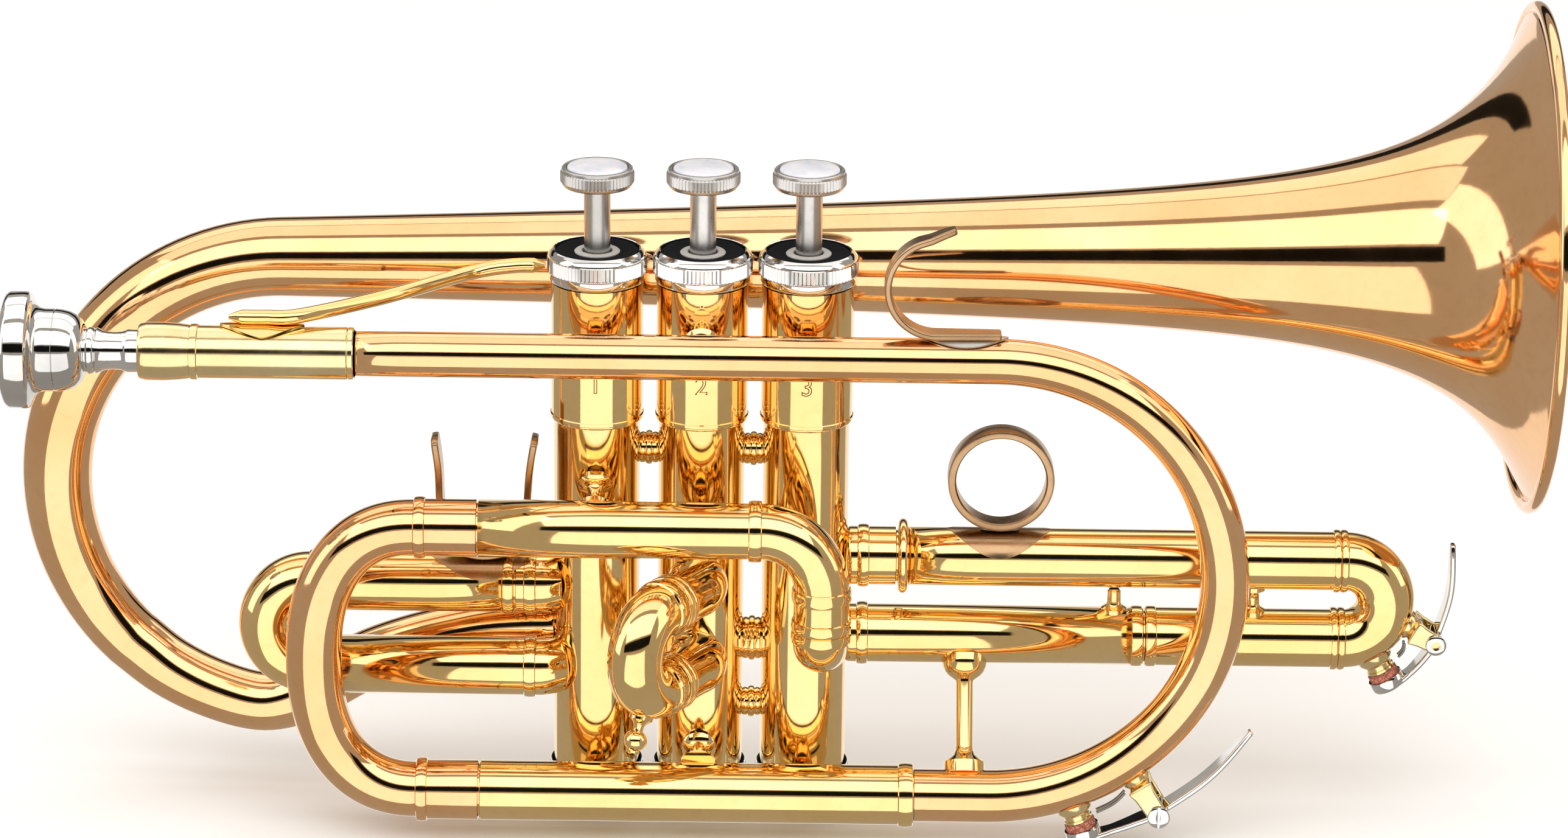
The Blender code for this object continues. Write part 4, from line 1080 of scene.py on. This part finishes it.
class CORNET_OT_second_slide(bpy.types.Operator):
    """Draw the second valve's slide with its curved roots, ferrules and pull knob"""

    bl_idname = "cornet.second_slide"
    bl_label = "Second slide"

    def execute(self, context):
        out = second_out()
        side = Vector((-out.y, out.x, 0)) * 7.9
        radius, inner = 6.3, 5.5
        high, low = -36.6, -55.6

        def at(distance, z):
            return side + out * distance + Vector((0, 0, z))

        for label, z, node in (("upper", high, "second_slide_upper_sleeve"),
                               ("lower", low, "second_slide_lower_sleeve")):
            wall = out * (CASING - 1.0) + Vector((0, 0, z))
            bend = smooth_path([wall, at(10.2, z) * 0.72 + wall * 0.28, at(13.5, z),
                                at(18, z), at(27, z)], 7)
            radii = [radius - 1.9 * max(0.0, 1 - i / 6) ** 2 for i in range(len(bend))]
            pipe = tube(f"second_{label}_sleeve", bend, radii, ROUND, False, WALL)
            finished(pipe, "yellow_brass", node)
            ring = ferrule(f"second_{label}_ferrule", at(23.6, z), out, radius, 3.4, 2)
            finished(ring, "yellow_brass")
            ring = ferrule(f"second_{label}_bow_ring", at(27.4, z), out, radius, 3.4)
            finished(ring, "yellow_brass", body="second_slide")
        upper = [(at(12.4, high), inner), (at(27.3, high), inner), (at(27.5, high), radius)]
        lower = [(at(27.5, low), radius), (at(27.3, low), inner), (at(12.4, low), inner)]
        centre = at(31, (high + low) / 2)
        stations = u_turn(upper, lower, centre, out, (0, 0, 1), (high - low) / 2, radius)
        finished(tube_of("second_slide_u_bow", stations), "yellow_brass", "second_slide_bow",
                 body="second_slide")
        lean = radians(-64)
        along = out * cos(lean) + Vector((0, 0, sin(lean)))
        profile = [(0, -1), (2.8, -1), (2.7, 0.3), (1.7, 1.0), (1.2, 1.8), (1.15, 3.0)]
        profile += [(2.7 * sin(turn), 5.2 - 2.5 * cos(turn))
                    for turn in (0.6, 0.9, 1.2, 1.6, 2.0, 2.3)]
        profile += [(1.4, 7.3), (1.6, 7.6), (1.5, 8.1), (0, 8.2)]
        knob = turned("second_slide_pull_knob", centre + along * (9.5 + radius), along, profile,
                      40)
        finished(knob, "yellow_brass", body="second_slide")
        return {"FINISHED"}


class CORNET_OT_third_slide(bpy.types.Operator):
    """Draw the third valve's slide with its stop ring, ferrules, finger ring and stays"""

    bl_idname = "cornet.third_slide"
    bl_label = "Third slide"

    def execute(self, context):
        z1, z2, x3 = -33.7, -52.9, VALVES[2]
        ring_x, lower_end, bow = x3 + 21.54, x3 + 78.84, x3 + 125.34
        stations = root_stations(x3, 1, 0, z1, SLIDE)
        stations += [((ring_x - 0.5, 0, z1), SLIDE), ((ring_x - 0.3, 0, z1), SLIDE_INNER),
                     ((ring_x + 60, 0, z1), SLIDE_INNER)]
        finished(tube_of("third_upper_tube", stations), "yellow_brass", "third_slide_upper_tube")
        stations = root_stations(x3, 1, 0, z2, SLIDE) + [((lower_end, 0, z2), SLIDE)]
        finished(tube_of("third_lower_sleeve", stations), "yellow_brass",
                 "third_slide_lower_sleeve")
        upper = [((ring_x, 0, z1), SLIDE), ((ring_x + 20, 0, z1), SLIDE)]
        lower = [((lower_end + 0.5, 0, z2), SLIDE), ((lower_end + 0.3, 0, z2), SLIDE_INNER),
                 ((lower_end - 38, 0, z2), SLIDE_INNER)]
        stations = u_turn(upper, lower, (bow, 0, (z1 + z2) / 2), (1, 0, 0), (0, 0, 1),
                          (z1 - z2) / 2, SLIDE)
        finished(tube_of("third_slide_u_bow", stations), "yellow_brass", "third_slide_bow",
                 body="third_slide")
        self.rings(x3, ring_x, lower_end, bow, z1, z2)
        self.finger_ring(x3 + 45.04, z1)
        self.stays(x3, z1, z2)
        return {"FINISHED"}

    def rings(self, x3, ring_x, lower_end, bow, z1, z2):
        roots = [ferrule("third_root_ferrules", (x3 + 12.2, 0, z), (1, 0, 0), SLIDE, 2.7)
                 for z in (z1, z2)]
        finished(joined(roots), "yellow_brass")
        end = ferrule("third_lower_ferrule", (lower_end - 2.8, 0, z2), (1, 0, 0), SLIDE, 2.6,
                      share=0.5)
        finished(end, "yellow_brass")
        section = [(7.5 + 1.2 * cos(tau * i / 16), 1.2 + 1.2 * sin(tau * i / 16))
                   for i in range(17)]
        stop = turned("third_stop_ring", (ring_x, 0, z1), (1, 0, 0), section, 72, 60)
        finished(stop, "yellow_brass", body="third_slide")
        moving = [ferrule("third_bow_ferrules", (bow - 3.0, 0, z), (1, 0, 0), SLIDE, 3.4, 2)
                  for z in (z1, z2)]
        moving.append(ferrule("third_leg_ferrule", (lower_end + 0.6, 0, z2), (1, 0, 0), SLIDE,
                              2.4, share=0.5))
        finished(joined(moving), "yellow_brass", body="third_slide")

    def finger_ring(self, x, z1):
        outer, inner, half = 12.3, 10.4, 3.0
        section = [(inner + 0.35, -half), (outer - 0.55, -half), (outer - 0.15, -half + 0.2),
                   (outer, -half + 0.6), (outer, half - 0.6), (outer - 0.15, half - 0.2),
                   (outer - 0.55, half), (inner + 0.35, half), (inner, half - 0.45),
                   (inner - 0.05, 0), (inner, -half + 0.45), (inner + 0.35, -half)]
        centre = (x, 0, z1 + SLIDE + SOLDER + outer)
        ring = turned("third_finger_ring", centre, (0, 1, 0), section, 96, 30)
        finished(ring, "nickel_silver", "finger_ring", body="third_slide")
        plate = saddle_plate("finger_ring_saddle", (x, 0, z1), SLIDE, 12.2, 74, 0.75)
        finished(plate, "nickel_silver", body="third_slide")
        solder = turned("finger_ring_solder", (x, 0, z1 + SLIDE), (0, 0, 1),
                        [(0, 0), (4.6, 0.5), (4.2, 1.2), (3.2, 1.6), (0, 1.75)], 40)
        edit(solder)
        bpy.ops.transform.resize(value=(1, 0.62, 1), center_override=Vector((x, 0, z1)) * MM)
        finished(settle(solder), "satin_silver", body="third_slide")

    def stays(self, x3, z1, z2):
        top = Vector((BOW_X - 5.4, 0, z2))
        foot = Vector((BOW_X - 5.4, LEADPIPE_Y, LOWER_LEG_Z))
        along = (foot - top).normalized()
        span = (foot - top).length - SLIDE - BOW_TUBE
        profile = [(0, -1.4), (5.2, -1.4), (5.25, 0.2), (5.05, 1.2), (4.5, 2.3), (3.6, 3.2),
                   (2.7, 3.8), (2.1, 4.3), (1.95, 5.0), (1.95, span - 5.4), (2.15, span - 4.4),
                   (2.8, span - 3.2), (4.3, span - 2.1), (4.7, span - 1.7), (4.75, span - 1.0),
                   (4.7, span + 1.0), (0, span + 1.0)]
        stay = turned("third_slide_to_bow_stay", top + along * SLIDE, along, profile, 48)
        finished(stay, "yellow_brass", "third_slide_stay")
        gap = z1 - z2 - 2 * SLIDE
        profile = [(0, -0.8), (3.2, -0.8), (3.1, 0.3), (2.2, 0.9), (1.8, 1.4), (1.75, gap / 2),
                   (1.8, gap - 1.4), (2.2, gap - 0.9), (3.1, gap - 0.3), (3.2, gap + 0.8),
                   (0, gap + 0.8)]
        brace = turned("third_slide_bow_brace", (x3 + 104, 0, z2 + SLIDE), (0, 0, 1), profile,
                       40)
        finished(brace, "yellow_brass", body="third_slide")
        profile = [(0, -0.8), (3.0, -0.8), (2.9, 0.3), (2.0, 0.9), (1.6, 1.5), (1.55, 4.4),
                   (1.2, 4.8), (0, 4.85)]
        post = turned("third_slide_stop_post", (x3 + 72, 0, z2 + SLIDE), (0, 0, 1), profile, 40)
        finished(post, "yellow_brass")


# Knuckles, stays, finger hook


class CORNET_OT_knuckles(bpy.types.Operator):
    """Turn the short tubes that join the casings, each with its end rings"""

    bl_idname = "cornet.knuckles"
    bl_label = "Knuckles"

    def execute(self, context):
        rows = (("knuckle_upper_1_2", 0, -7.8, 4.0, "knuckle_1_2"),
                ("knuckle_upper_2_3", 1, -7.8, 4.0, "knuckle_2_3"),
                ("port_barrel_2_3", 1, -54.5, 5.3, "port_tube_2_3"),
                ("knuckle_lower_2_3", 1, -70.4, 3.7, None))
        span = SPACING - 2 * CASING
        for name, left, z, radius, node in rows:
            start = VALVES[left] + CASING
            edge = min(radius, 4.4)
            profile = [(edge - 0.8, -0.9), (edge, -0.9), (edge, -0.5)]
            for bead in range(3):
                middle = span * (bead + 0.5) / 3
                swell = radius - (0.0 if bead == 1 else 0.35)
                for turn in (-0.42, -0.25, 0, 0.25, 0.42):
                    profile.append((swell + 0.3 * cos(turn * pi) - 0.3,
                                    middle + turn * span / 3 * 1.1))
            profile += [(edge, span + 0.5), (edge, span + 0.9), (edge - 0.8, span + 0.9),
                        (edge - 0.8, -0.9)]
            piece = turned(name, (start, 0, z), (1, 0, 0), profile, 48, 24)
            finished(piece, "yellow_brass", *([node] if node else []))
        return {"FINISHED"}


def post(name, start, end, shaft, flange):
    """A stay between two surfaces with a domed flange at each end."""
    start, end = Vector(start), Vector(end)
    cup = 1.6
    span = (end - start).length
    half = [(flange, -0.8), (flange + 0.05, 0.2), (flange * 0.9, cup * 0.45),
            (flange * 0.62, cup * 0.85), (shaft * 1.15, cup), (shaft, cup + 0.5)]
    back = [(r, span - h) for r, h in reversed(half)]
    profile = [(0, -0.8), *half, *back, (0, span + 0.8)]
    return turned(name, start, end - start, profile, 44)


class CORNET_OT_stays(bpy.types.Operator):
    """Turn the stays that tie the tubes to the casings, and shape the bell brace"""

    bl_idname = "cornet.stays"
    bl_label = "Stays"

    def execute(self, context):
        first, second = VALVES[0], VALVES[1]
        y = LEADPIPE_Y
        rows = (("stay_leadpipe_to_casing", (second, y + 5.0, 21.2), (second, -10.3, 21.4), 1.7,
                 3.8),
                ("stay_sleeve_to_casing", (first, y + 5.6, -17.2), (first, -9.7, -13.6), 1.7,
                 4.0),
                ("stay_lower_sleeve_to_casing", (second, y + 3.0, -78.9),
                 (second, -10.4, -78.0), 1.5, 4.0),
                ("stay_bell_tail", (first - 34, 4.4, -58.6), (first - 34, 0.4, -59.4), 1.6, 3.0))
        for name, start, end, shaft, flange in rows:
            finished(post(name, start, end, shaft, flange), "yellow_brass")
        leaf = saddle_plate("casing_leaf_plate", (second, 0, 21.6), 10.5, 8.0, 26, 0.6,
                            upright=True)
        finished(leaf, "yellow_brass")
        self.bell_brace()
        return {"FINISHED"}

    def bell_brace(self):
        radius = 1.7
        front = node_box("bell_brace")[1].y - radius
        top = LEADPIPE_Z + 6.65 + radius
        path = smooth_path([(-106, LEADPIPE_Y, top), (-98, LEADPIPE_Y, top),
                            (-90, LEADPIPE_Y + 0.5, top + 0.3), (-72, -6.4, 29.7),
                            (-54, front - 1.5, 30.2), (-44, front, 31.6),
                            (-36.5, front, 31.8)], 8)
        count = len(path) - 1
        radii = [radius * min(1.0, 0.35 + 0.65 * min(i, count - i) / 3) for i in range(count + 1)]
        bar = tube("bell_brace_bar", path, radii, 24)
        finished(bar, "yellow_brass", "bell_brace")
        foot = saddle_plate("bell_brace_receiver_foot", (-98.5, LEADPIPE_Y, LEADPIPE_Z), 6.0,
                            9.5, 42, 0.7, 1.6)
        finished(foot, "yellow_brass")
        axis = bell_axis(-41)
        foot = saddle_plate("bell_brace_bell_foot", tuple(axis), bell_radius(-41) + 0.05, 8.0,
                            24, 0.6, 1.8, -86)
        finished(foot, "yellow_brass")


class CORNET_OT_finger_hook(bpy.types.Operator):
    """Bend the finger hook over the leadpipe"""

    bl_idname = "cornet.finger_hook"
    bl_label = "Finger hook"

    def execute(self, context):
        thickness = 1.6
        base = LEADPIPE_Z + LEADPIPE_TUBE + SOLDER + thickness / 2
        path = [(57.0, base + 24.6), (54.4, base + 23.7), (51.5, base + 22.4)]
        path += [polar((53.0, base + 11.2), 11.2, 112 + 158 * i / 26) for i in range(27)]
        path += [(56.5, base), (60.0, base), (64.0, base), (67.5, base)]
        count = len(path) - 1
        widths = []
        for i in range(count + 1):
            width = 5.6
            if i < 3:
                width = 3.0 + 2.6 * (i / 3) ** 0.6
            if i > count - 4:
                width = 5.6 - 0.9 * (i - count + 4) / 4
            widths.append(width)
        hook = strip("finger_hook_band", path, widths, thickness, LEADPIPE_Y, 0.5)
        finished(hook, "nickel_silver", "finger_hook")
        solder = saddle_plate("finger_hook_foot", (59.5, LEADPIPE_Y, LEADPIPE_Z), 5.25, 9.6, 40,
                              0.55, 2.2)
        finished(solder, "satin_silver")
        return {"FINISHED"}


# Water keys


KEYS = {
    "lower": {"centre": (BOW_X, LEADPIPE_Z - BOW_RADIUS), "y": LEADPIPE_Y,
              "outer": BOW_RADIUS + BOW_TUBE, "angles": (-70, -54.5, -54.77, -30.72),
              "rises": (9.31, 11.26), "body": "root"},
    "upper": {"centre": (149.4, -43.3), "y": 0.0, "outer": 16.4,
              "angles": (-61, -21.5, -23.49, 29.9), "rises": (6.93, 12.09),
              "body": "third_slide"},
}


class CORNET_OT_water_keys(bpy.types.Operator):
    """Make both water keys: nipple, cork, cup, lever, saddle, screw and springs"""

    bl_idname = "cornet.water_keys"
    bl_label = "Water keys"

    def execute(self, context):
        for label, key in KEYS.items():
            cork_angle, post_angle, pivot_angle, tip_angle = key["angles"]
            pivot_rise, tip_rise = key["rises"]
            centre, outer = key["centre"], key["outer"]
            pivot = polar(centre, outer + pivot_rise, pivot_angle)
            tip = polar(centre, outer + tip_rise, tip_angle)
            self.nipple_and_cork(label, key, cork_angle)
            self.lever(label, key, cork_angle, pivot, tip)
            self.saddle(label, key, post_angle, pivot)
            self.springs(label, key, cork_angle, post_angle)
        return {"FINISHED"}

    def nipple_and_cork(self, label, key, angle):
        centre, y, outer = key["centre"], key["y"], key["outer"]
        out = Vector((cos(radians(angle)), 0, sin(radians(angle))))
        base = Vector((centre[0], y, centre[1])) + out * outer
        profile = [(4.3, -1.5), (4.2, 0.0), (3.6, 0.9), (3.1, 1.3), (3.05, 2.3), (3.35, 2.5),
                   (3.35, 3.0), (3.1, 3.1), (1.6, 3.1), (1.6, -1.5), (4.3, -1.5)]
        nipple = turned(f"{label}_nipple", base, out, profile, 40)
        finished(nipple, "pale_brass", body=key["body"])
        profile = [(0, 0), (3.3, 0), (3.55, 0.3), (3.6, 1.4), (3.55, 2.7), (3.3, 3.0), (0, 3.0)]
        cork = turned(f"{label}_cork", base + out * 3.2, out, profile, 40)
        finished(cork, "cork", f"{label}_key_cork", body=f"{label}_key")

    def lever(self, label, key, cork_angle, pivot, tip):
        centre, y, outer = key["centre"], key["y"], key["outer"]
        out = Vector((cos(radians(cork_angle)), 0, sin(radians(cork_angle))))
        seat = Vector((centre[0], y, centre[1])) + out * (outer + 3.2)
        profile = [(0, 3.1), (3.6, 3.1), (3.7, 1.9), (4.05, 1.85), (4.15, 2.2), (4.15, 3.9),
                   (3.9, 4.5), (3.2, 4.9), (1.6, 5.15), (0, 5.2)]
        cup = turned(f"{label}_lever_cup", seat, out, profile, 44)
        cup_radius = outer + 3.2 + 3.0 + 1.6
        climb = outer + key["rises"][0] - cup_radius
        between = [polar(centre, cup_radius + climb * share, cork_angle
                         + (key["angles"][2] - cork_angle) * share) for share in (0.35, 0.7)]
        bulge = Vector(pivot) * 0.52 + Vector(tip) * 0.48
        bulge += (bulge - Vector(centre)).normalized() * 1.5
        knots = [polar(centre, cup_radius, cork_angle), *between, pivot, tuple(bulge), tip]
        path = [(point.x, point.y)
                for point in smooth_path([(x, z, 0) for x, z in knots], 7)]
        count = len(path) - 1
        widths = []
        for i in range(count + 1):
            share = i / count
            width = 4.2 + 1.8 * min(1.0, abs(share - 0.2) * 4)
            if share > 0.8:
                width = 6.0 * (1 - ((share - 0.8) / 0.2) ** 2.4 * 0.62)
            widths.append(width)
        blade = strip(f"{label}_lever_blade", path, widths, 1.3, y, 0.45)
        half = 3.0
        barrel = turned(f"{label}_lever_barrel", (pivot[0], y - half, pivot[1]), (0, 1, 0),
                        [(1.3, 0), (2.1, 0), (2.3, 0.2), (2.3, 2 * half - 0.2), (2.1, 2 * half),
                         (1.3, 2 * half), (1.3, 0)], 36)
        lever = joined([blade, cup, barrel])
        lever.name = f"{label}_lever"
        finished(lever, "silver_plate", f"{label}_key_lever", body=f"{label}_key")

    def saddle(self, label, key, post_angle, pivot):
        centre, y, outer = key["centre"], key["y"], key["outer"]
        foot = polar(centre, outer + 0.1, post_angle)
        ways = (Vector(pivot) - Vector(foot)).normalized()
        along = Vector((ways.x, 0, ways.y))
        base = Vector((foot[0], y, foot[1]))
        socket = turned(f"{label}_saddle_post", base, along,
                              [(0, -1.6), (3.4, -1.6), (3.5, -0.3), (3.1, 0.5), (2.7, 1.2),
                               (2.7, 2.2), (0, 2.2)], 40)
        ears = []
        for side in (-1, 1):
            place = y + side * 3.9
            knots = [Vector(foot) + ways * 0.9, Vector(foot) + ways * 3.2,
                     Vector(pivot) - ways * 0.4, Vector(pivot) + ways * 2.0]
            spread = (3.0, 2.5, 2.3, 1.2)
            across = Vector((-ways.y, ways.x))
            left = [(k.x + across.x * s, place, k.y + across.y * s)
                    for k, s in zip(knots, spread)]
            right = [(k.x - across.x * s, place, k.y - across.y * s)
                     for k, s in zip(knots, spread)]
            ears.append(band(f"{label}_saddle_ear", left, right, 1.2, 0.4))
        knee = Vector(foot) + ways * 1.5
        across = Vector((-ways.y, ways.x)) * 2.6
        left = [(knee.x + across.x, y + dy, knee.y + across.y) for dy in (-4.4, 0, 4.4)]
        right = [(knee.x - across.x, y + dy, knee.y - across.y) for dy in (-4.4, 0, 4.4)]
        bridge = band(f"{label}_saddle_bridge", left, right, 1.4, 0.4)
        saddle = joined([socket, *ears, bridge])
        saddle.name = f"{label}_saddle"
        finished(saddle, "pale_brass", f"{label}_key_saddle", body=key["body"])
        self.screw(label, key, y, pivot)

    def screw(self, label, key, y, pivot):
        """A slotted screw through the ears; the upper key has an eyelet in its place."""
        front, back = y - 5.3, y + 5.3
        if label == "upper":
            profile = [(1.1, 0), (2.0, 0), (2.4, 0.25), (2.4, 0.75), (2.0, 1.0), (1.1, 1.0),
                       (1.1, 0)]
        else:
            profile = [(0, 0.1), (2.2, 0.1), (2.6, 0.35), (2.6, 0.75), (2.2, 1.0), (0, 1.0)]
        head = turned(f"{label}_screw", (pivot[0], front, pivot[1]), (0, 1, 0), profile, 40)
        pin = turned(f"{label}_pin", (pivot[0], front + 0.9, pivot[1]), (0, 1, 0),
                     [(0, 0), (1.0, 0), (1.0, back - front - 1.2), (0.8, back - front - 0.9),
                      (0, back - front - 0.9)], 24)
        if label == "lower":
            half_slot = 0.3
            edit(head)
            for edge in (half_slot, -half_slot):
                bpy.ops.mesh.select_all(action="SELECT")
                bpy.ops.mesh.bisect(plane_co=((pivot[0] + edge) * MM, 0, 0), plane_no=(1, 0, 0))
            bpy.ops.mesh.select_all(action="DESELECT")
            bpy.ops.object.mode_set(mode="OBJECT")
            for vertex in head.data.vertices:
                x, depth, _ = vertex.co / MM
                vertex.select = abs(x - pivot[0]) < 0.25 and depth < front + 0.3
            bpy.ops.object.mode_set(mode="EDIT")
            bpy.ops.transform.translate(value=(0, 0.45 * MM, 0))
            bpy.ops.object.mode_set(mode="OBJECT")
        piece = joined([head, pin])
        finished(piece, "silver_plate", body=key["body"], slot="yellow_brass")

    def springs(self, label, key, cork_angle, post_angle):
        centre, y, outer = key["centre"], key["y"], key["outer"]
        start = post_angle - degrees(4.0 / outer)
        end = cork_angle + degrees(4.3 / outer)
        wires = []
        for side in (-0.9, 0.9):
            knots = [polar(centre, outer + rise, start + (end - start) * share)
                     for share, rise in ((0, 1.4), (0.3, 2.2), (0.6, 2.6), (1, 2.7))]
            points = smooth_path([(x, y + side, z) for x, z in knots], 6)
            wires.append(tube(f"{label}_spring", points, 0.32, 12))
        finished(joined(wires), "spring_steel", f"{label}_key_spring", body=key["body"])


class CORNET_OT_inner_works(bpy.types.Operator):
    """Coil the valve springs, and give the pistons and guides their finishes"""

    bl_idname = "cornet.inner_works"
    bl_label = "Inner works"

    def execute(self, context):
        for number in (1, 2, 3):
            for node, finish in (("piston", "monel"), ("valve_guide", "nylon")):
                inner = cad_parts[f"{node}_{number}"]
                inner.data.materials.clear()
                inner.data.materials.append(FINISHES[finish])
            self.spring(number)
        return {"FINISHED"}

    def spring(self, number):
        """A coil that rests on the guide."""
        node = f"valve_spring_{number}"
        low, high = node_box(node)
        wire, turns, round_turn, stroke = 0.5, 7, 24, 15.0
        middle_x, middle_y = (low.x + high.x) / 2, (low.y + high.y) / 2
        radius = (high.x - low.x) / 2 - wire
        bottom, rise = low.z + wire, high.z - low.z - 2 * wire
        points = []
        for i in range(turns * round_turn + 1):
            angle = 2 * pi * i / round_turn
            points.append((middle_x + radius * cos(angle), middle_y + radius * sin(angle),
                           bottom + rise * i / (turns * round_turn)))
        coil = tube(f"spring_coil_{number}", points, wire, 10)
        finished(coil, "spring_steel", node)
        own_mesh(coil)


class CORNET_OT_finishes(bpy.types.Operator):
    """Mix the metal, felt, pearl and cork finishes"""

    bl_idname = "cornet.finishes"
    bl_label = "Finishes"

    def execute(self, context):
        make_finishes(context.scene.cornet_colours)
        return {"FINISHED"}


# Stage


def plain_surface(name, shade):
    """A matt stage surface with a faint unevenness."""
    finish = Finish(name, specular_ior_level=0.1)
    haze = finish.noise(finish.place((0.01, 0.01, 0.01)), 1.0, 2.0)
    lighter = colour(*(min(1.0, part * 1.03) for part in shade[:3]))
    finish.feed("Base Color", finish.mix(haze, shade, lighter))
    finish.feed("Roughness", 0.9 + 0.1 * haze)
    return finish.material


def face_middle(thing):
    """Turns a light or a card at its place to face the instrument."""
    thing.rotation_mode = "QUATERNION"
    thing.rotation_quaternion = (-thing.location).to_track_quat("-Z", "Y")


def softbox(name, place, width, height, glow, seen_in_metal=True):
    """An area light of a given radiance that no camera sees directly."""
    deselect()
    bpy.ops.object.light_add(type="AREA", location=place)
    box = bpy.context.active_object
    box.name = name
    box.data.shape = "RECTANGLE"
    box.data.size = width
    box.data.size_y = height
    box.data.energy = glow * width * height * pi
    face_middle(box)
    box.visible_camera = False
    box.visible_glossy = seen_in_metal


def flag(name, place, width, height, shade):
    """A dark card that shows only in the metal's reflections."""
    deselect()
    bpy.ops.mesh.primitive_plane_add(size=1, location=place)
    card = bpy.context.active_object
    card.name = name
    card.scale = (width, height, 1)
    face_middle(card)
    card.data.materials.append(plain_surface(name, colour(shade, shade, shade)))
    card.visible_camera = False
    card.visible_diffuse = False
    card.visible_shadow = False


def around(distance, azimuth, elevation):
    """A place round the instrument: azimuth 0 is in front of it, on -Y."""
    flat = distance * cos(radians(elevation))
    return (flat * sin(radians(azimuth)), -flat * cos(radians(azimuth)),
            distance * sin(radians(elevation)))


class CORNET_OT_stage(bpy.types.Operator):
    """Set the pale floor, the softboxes, the dark flags and the camera"""

    bl_idname = "cornet.stage"
    bl_label = "Stage"

    def execute(self, context):
        studio = context.scene.cornet_studio
        glow = studio.softbox_glow
        context.scene.view_settings.view_transform = "Standard"
        deselect()
        bpy.ops.mesh.primitive_plane_add(size=14, location=(0, 0, FLOOR_Z * MM))
        floor = bpy.context.active_object
        floor.name = "studio_floor"
        floor.data.materials.append(plain_surface("studio_floor", colour(0.93, 0.93, 0.92)))
        floor.visible_glossy = False
        floor.visible_shadow = False

        softbox("lower_softbox", around(1.9, 0, -19), 3.0, 1.85, 1.1 * glow)
        softbox("top_softbox", around(1.9, 180, 82), 3.6, 1.2, 0.95 * glow)
        softbox("upper_softbox", around(1.7, 0, 52), 3.6, 1.2, 1.6 * glow)
        softbox("left_softbox", around(1.8, -80, 24), 0.9, 1.6, 1.3 * glow)
        softbox("right_softbox", around(1.8, 84, 24), 0.7, 1.6, 1.2 * glow)
        softbox("back_softbox", around(1.9, 180, 50), 3.0, 0.85, 1.1 * glow)
        softbox("back_lower_softbox", around(1.9, 180, -22), 3.0, 1.5, 0.6 * glow)
        flag("back_flag", around(2.0, 180, 19), 4.0, 0.42, 0.01)
        softbox("floor_wash", (0, 0, 2.6), 3.0, 3.0, 0.3 * glow, seen_in_metal=False)
        flag("front_flag", around(1.9, 0, 21), 4.4, 0.58, 0.004)

        world = bpy.data.worlds.new("studio_walls")
        bpy.context.scene.world = world
        world.use_nodes = True
        walls = world.node_tree.nodes["Background"]
        walls.inputs["Color"].default_value = colour(1.0, 0.93, 0.84)
        walls.inputs["Strength"].default_value = studio.world_glow
        self.camera(studio)
        return {"FINISHED"}

    def camera(self, studio):
        target = Vector((18.9, 0, -0.6)) * MM
        rise = studio.elevation
        back = Vector((0, -cos(rise), sin(rise)))
        deselect()
        bpy.ops.object.camera_add(location=target + back * studio.distance)
        camera = bpy.context.active_object
        camera.name = "studio_camera"
        camera.data.sensor_width = 36
        camera.data.lens = studio.lens
        camera.rotation_mode = "XYZ"
        camera.rotation_euler = (pi / 2 - rise, 0, 0)
        camera.rotation_euler.rotate_axis("Z", studio.roll)
        bpy.context.scene.camera = camera


class CORNET_PT_workshop(bpy.types.Panel):
    """Cornet pieces, sizes and finishes"""

    bl_idname = "CORNET_PT_workshop"
    bl_label = "Cornet"
    bl_space_type = "VIEW_3D"
    bl_region_type = "UI"
    bl_category = "Cornet"

    def draw(self, context):
        layout = self.layout
        for group in (context.scene.cornet_trim, context.scene.cornet_colours,
                      context.scene.cornet_studio):
            box = layout.box()
            for name in group.__annotations__:
                box.prop(group, name)
        for step in STEPS:
            layout.operator(step.bl_idname)


STEPS = (CORNET_OT_finishes, CORNET_OT_bell, CORNET_OT_mouthpiece, CORNET_OT_leadpipe,
         CORNET_OT_tuning_slide, CORNET_OT_valves, CORNET_OT_first_slide,
         CORNET_OT_second_slide, CORNET_OT_third_slide, CORNET_OT_knuckles, CORNET_OT_stays,
         CORNET_OT_finger_hook, CORNET_OT_water_keys, CORNET_OT_inner_works, CORNET_OT_stage)
GROUPS = {"cornet_trim": CornetTrim, "cornet_colours": CornetColours,
          "cornet_studio": CornetStudio}


def register():
    for group in (*GROUPS.values(), *STEPS, CORNET_PT_workshop):
        bpy.utils.register_class(group)
    for name, group in GROUPS.items():
        setattr(bpy.types.Scene, name, bpy.props.PointerProperty(type=group))


def unregister():
    for name in GROUPS:
        delattr(bpy.types.Scene, name)
    for group in (CORNET_PT_workshop, *reversed(STEPS), *reversed(GROUPS.values())):
        bpy.utils.unregister_class(group)


def main():
    register()
    for step in STEPS:
        getattr(bpy.ops.cornet, step.bl_idname.split(".")[1])()
    deselect()


if __name__ == "__main__":
    main()
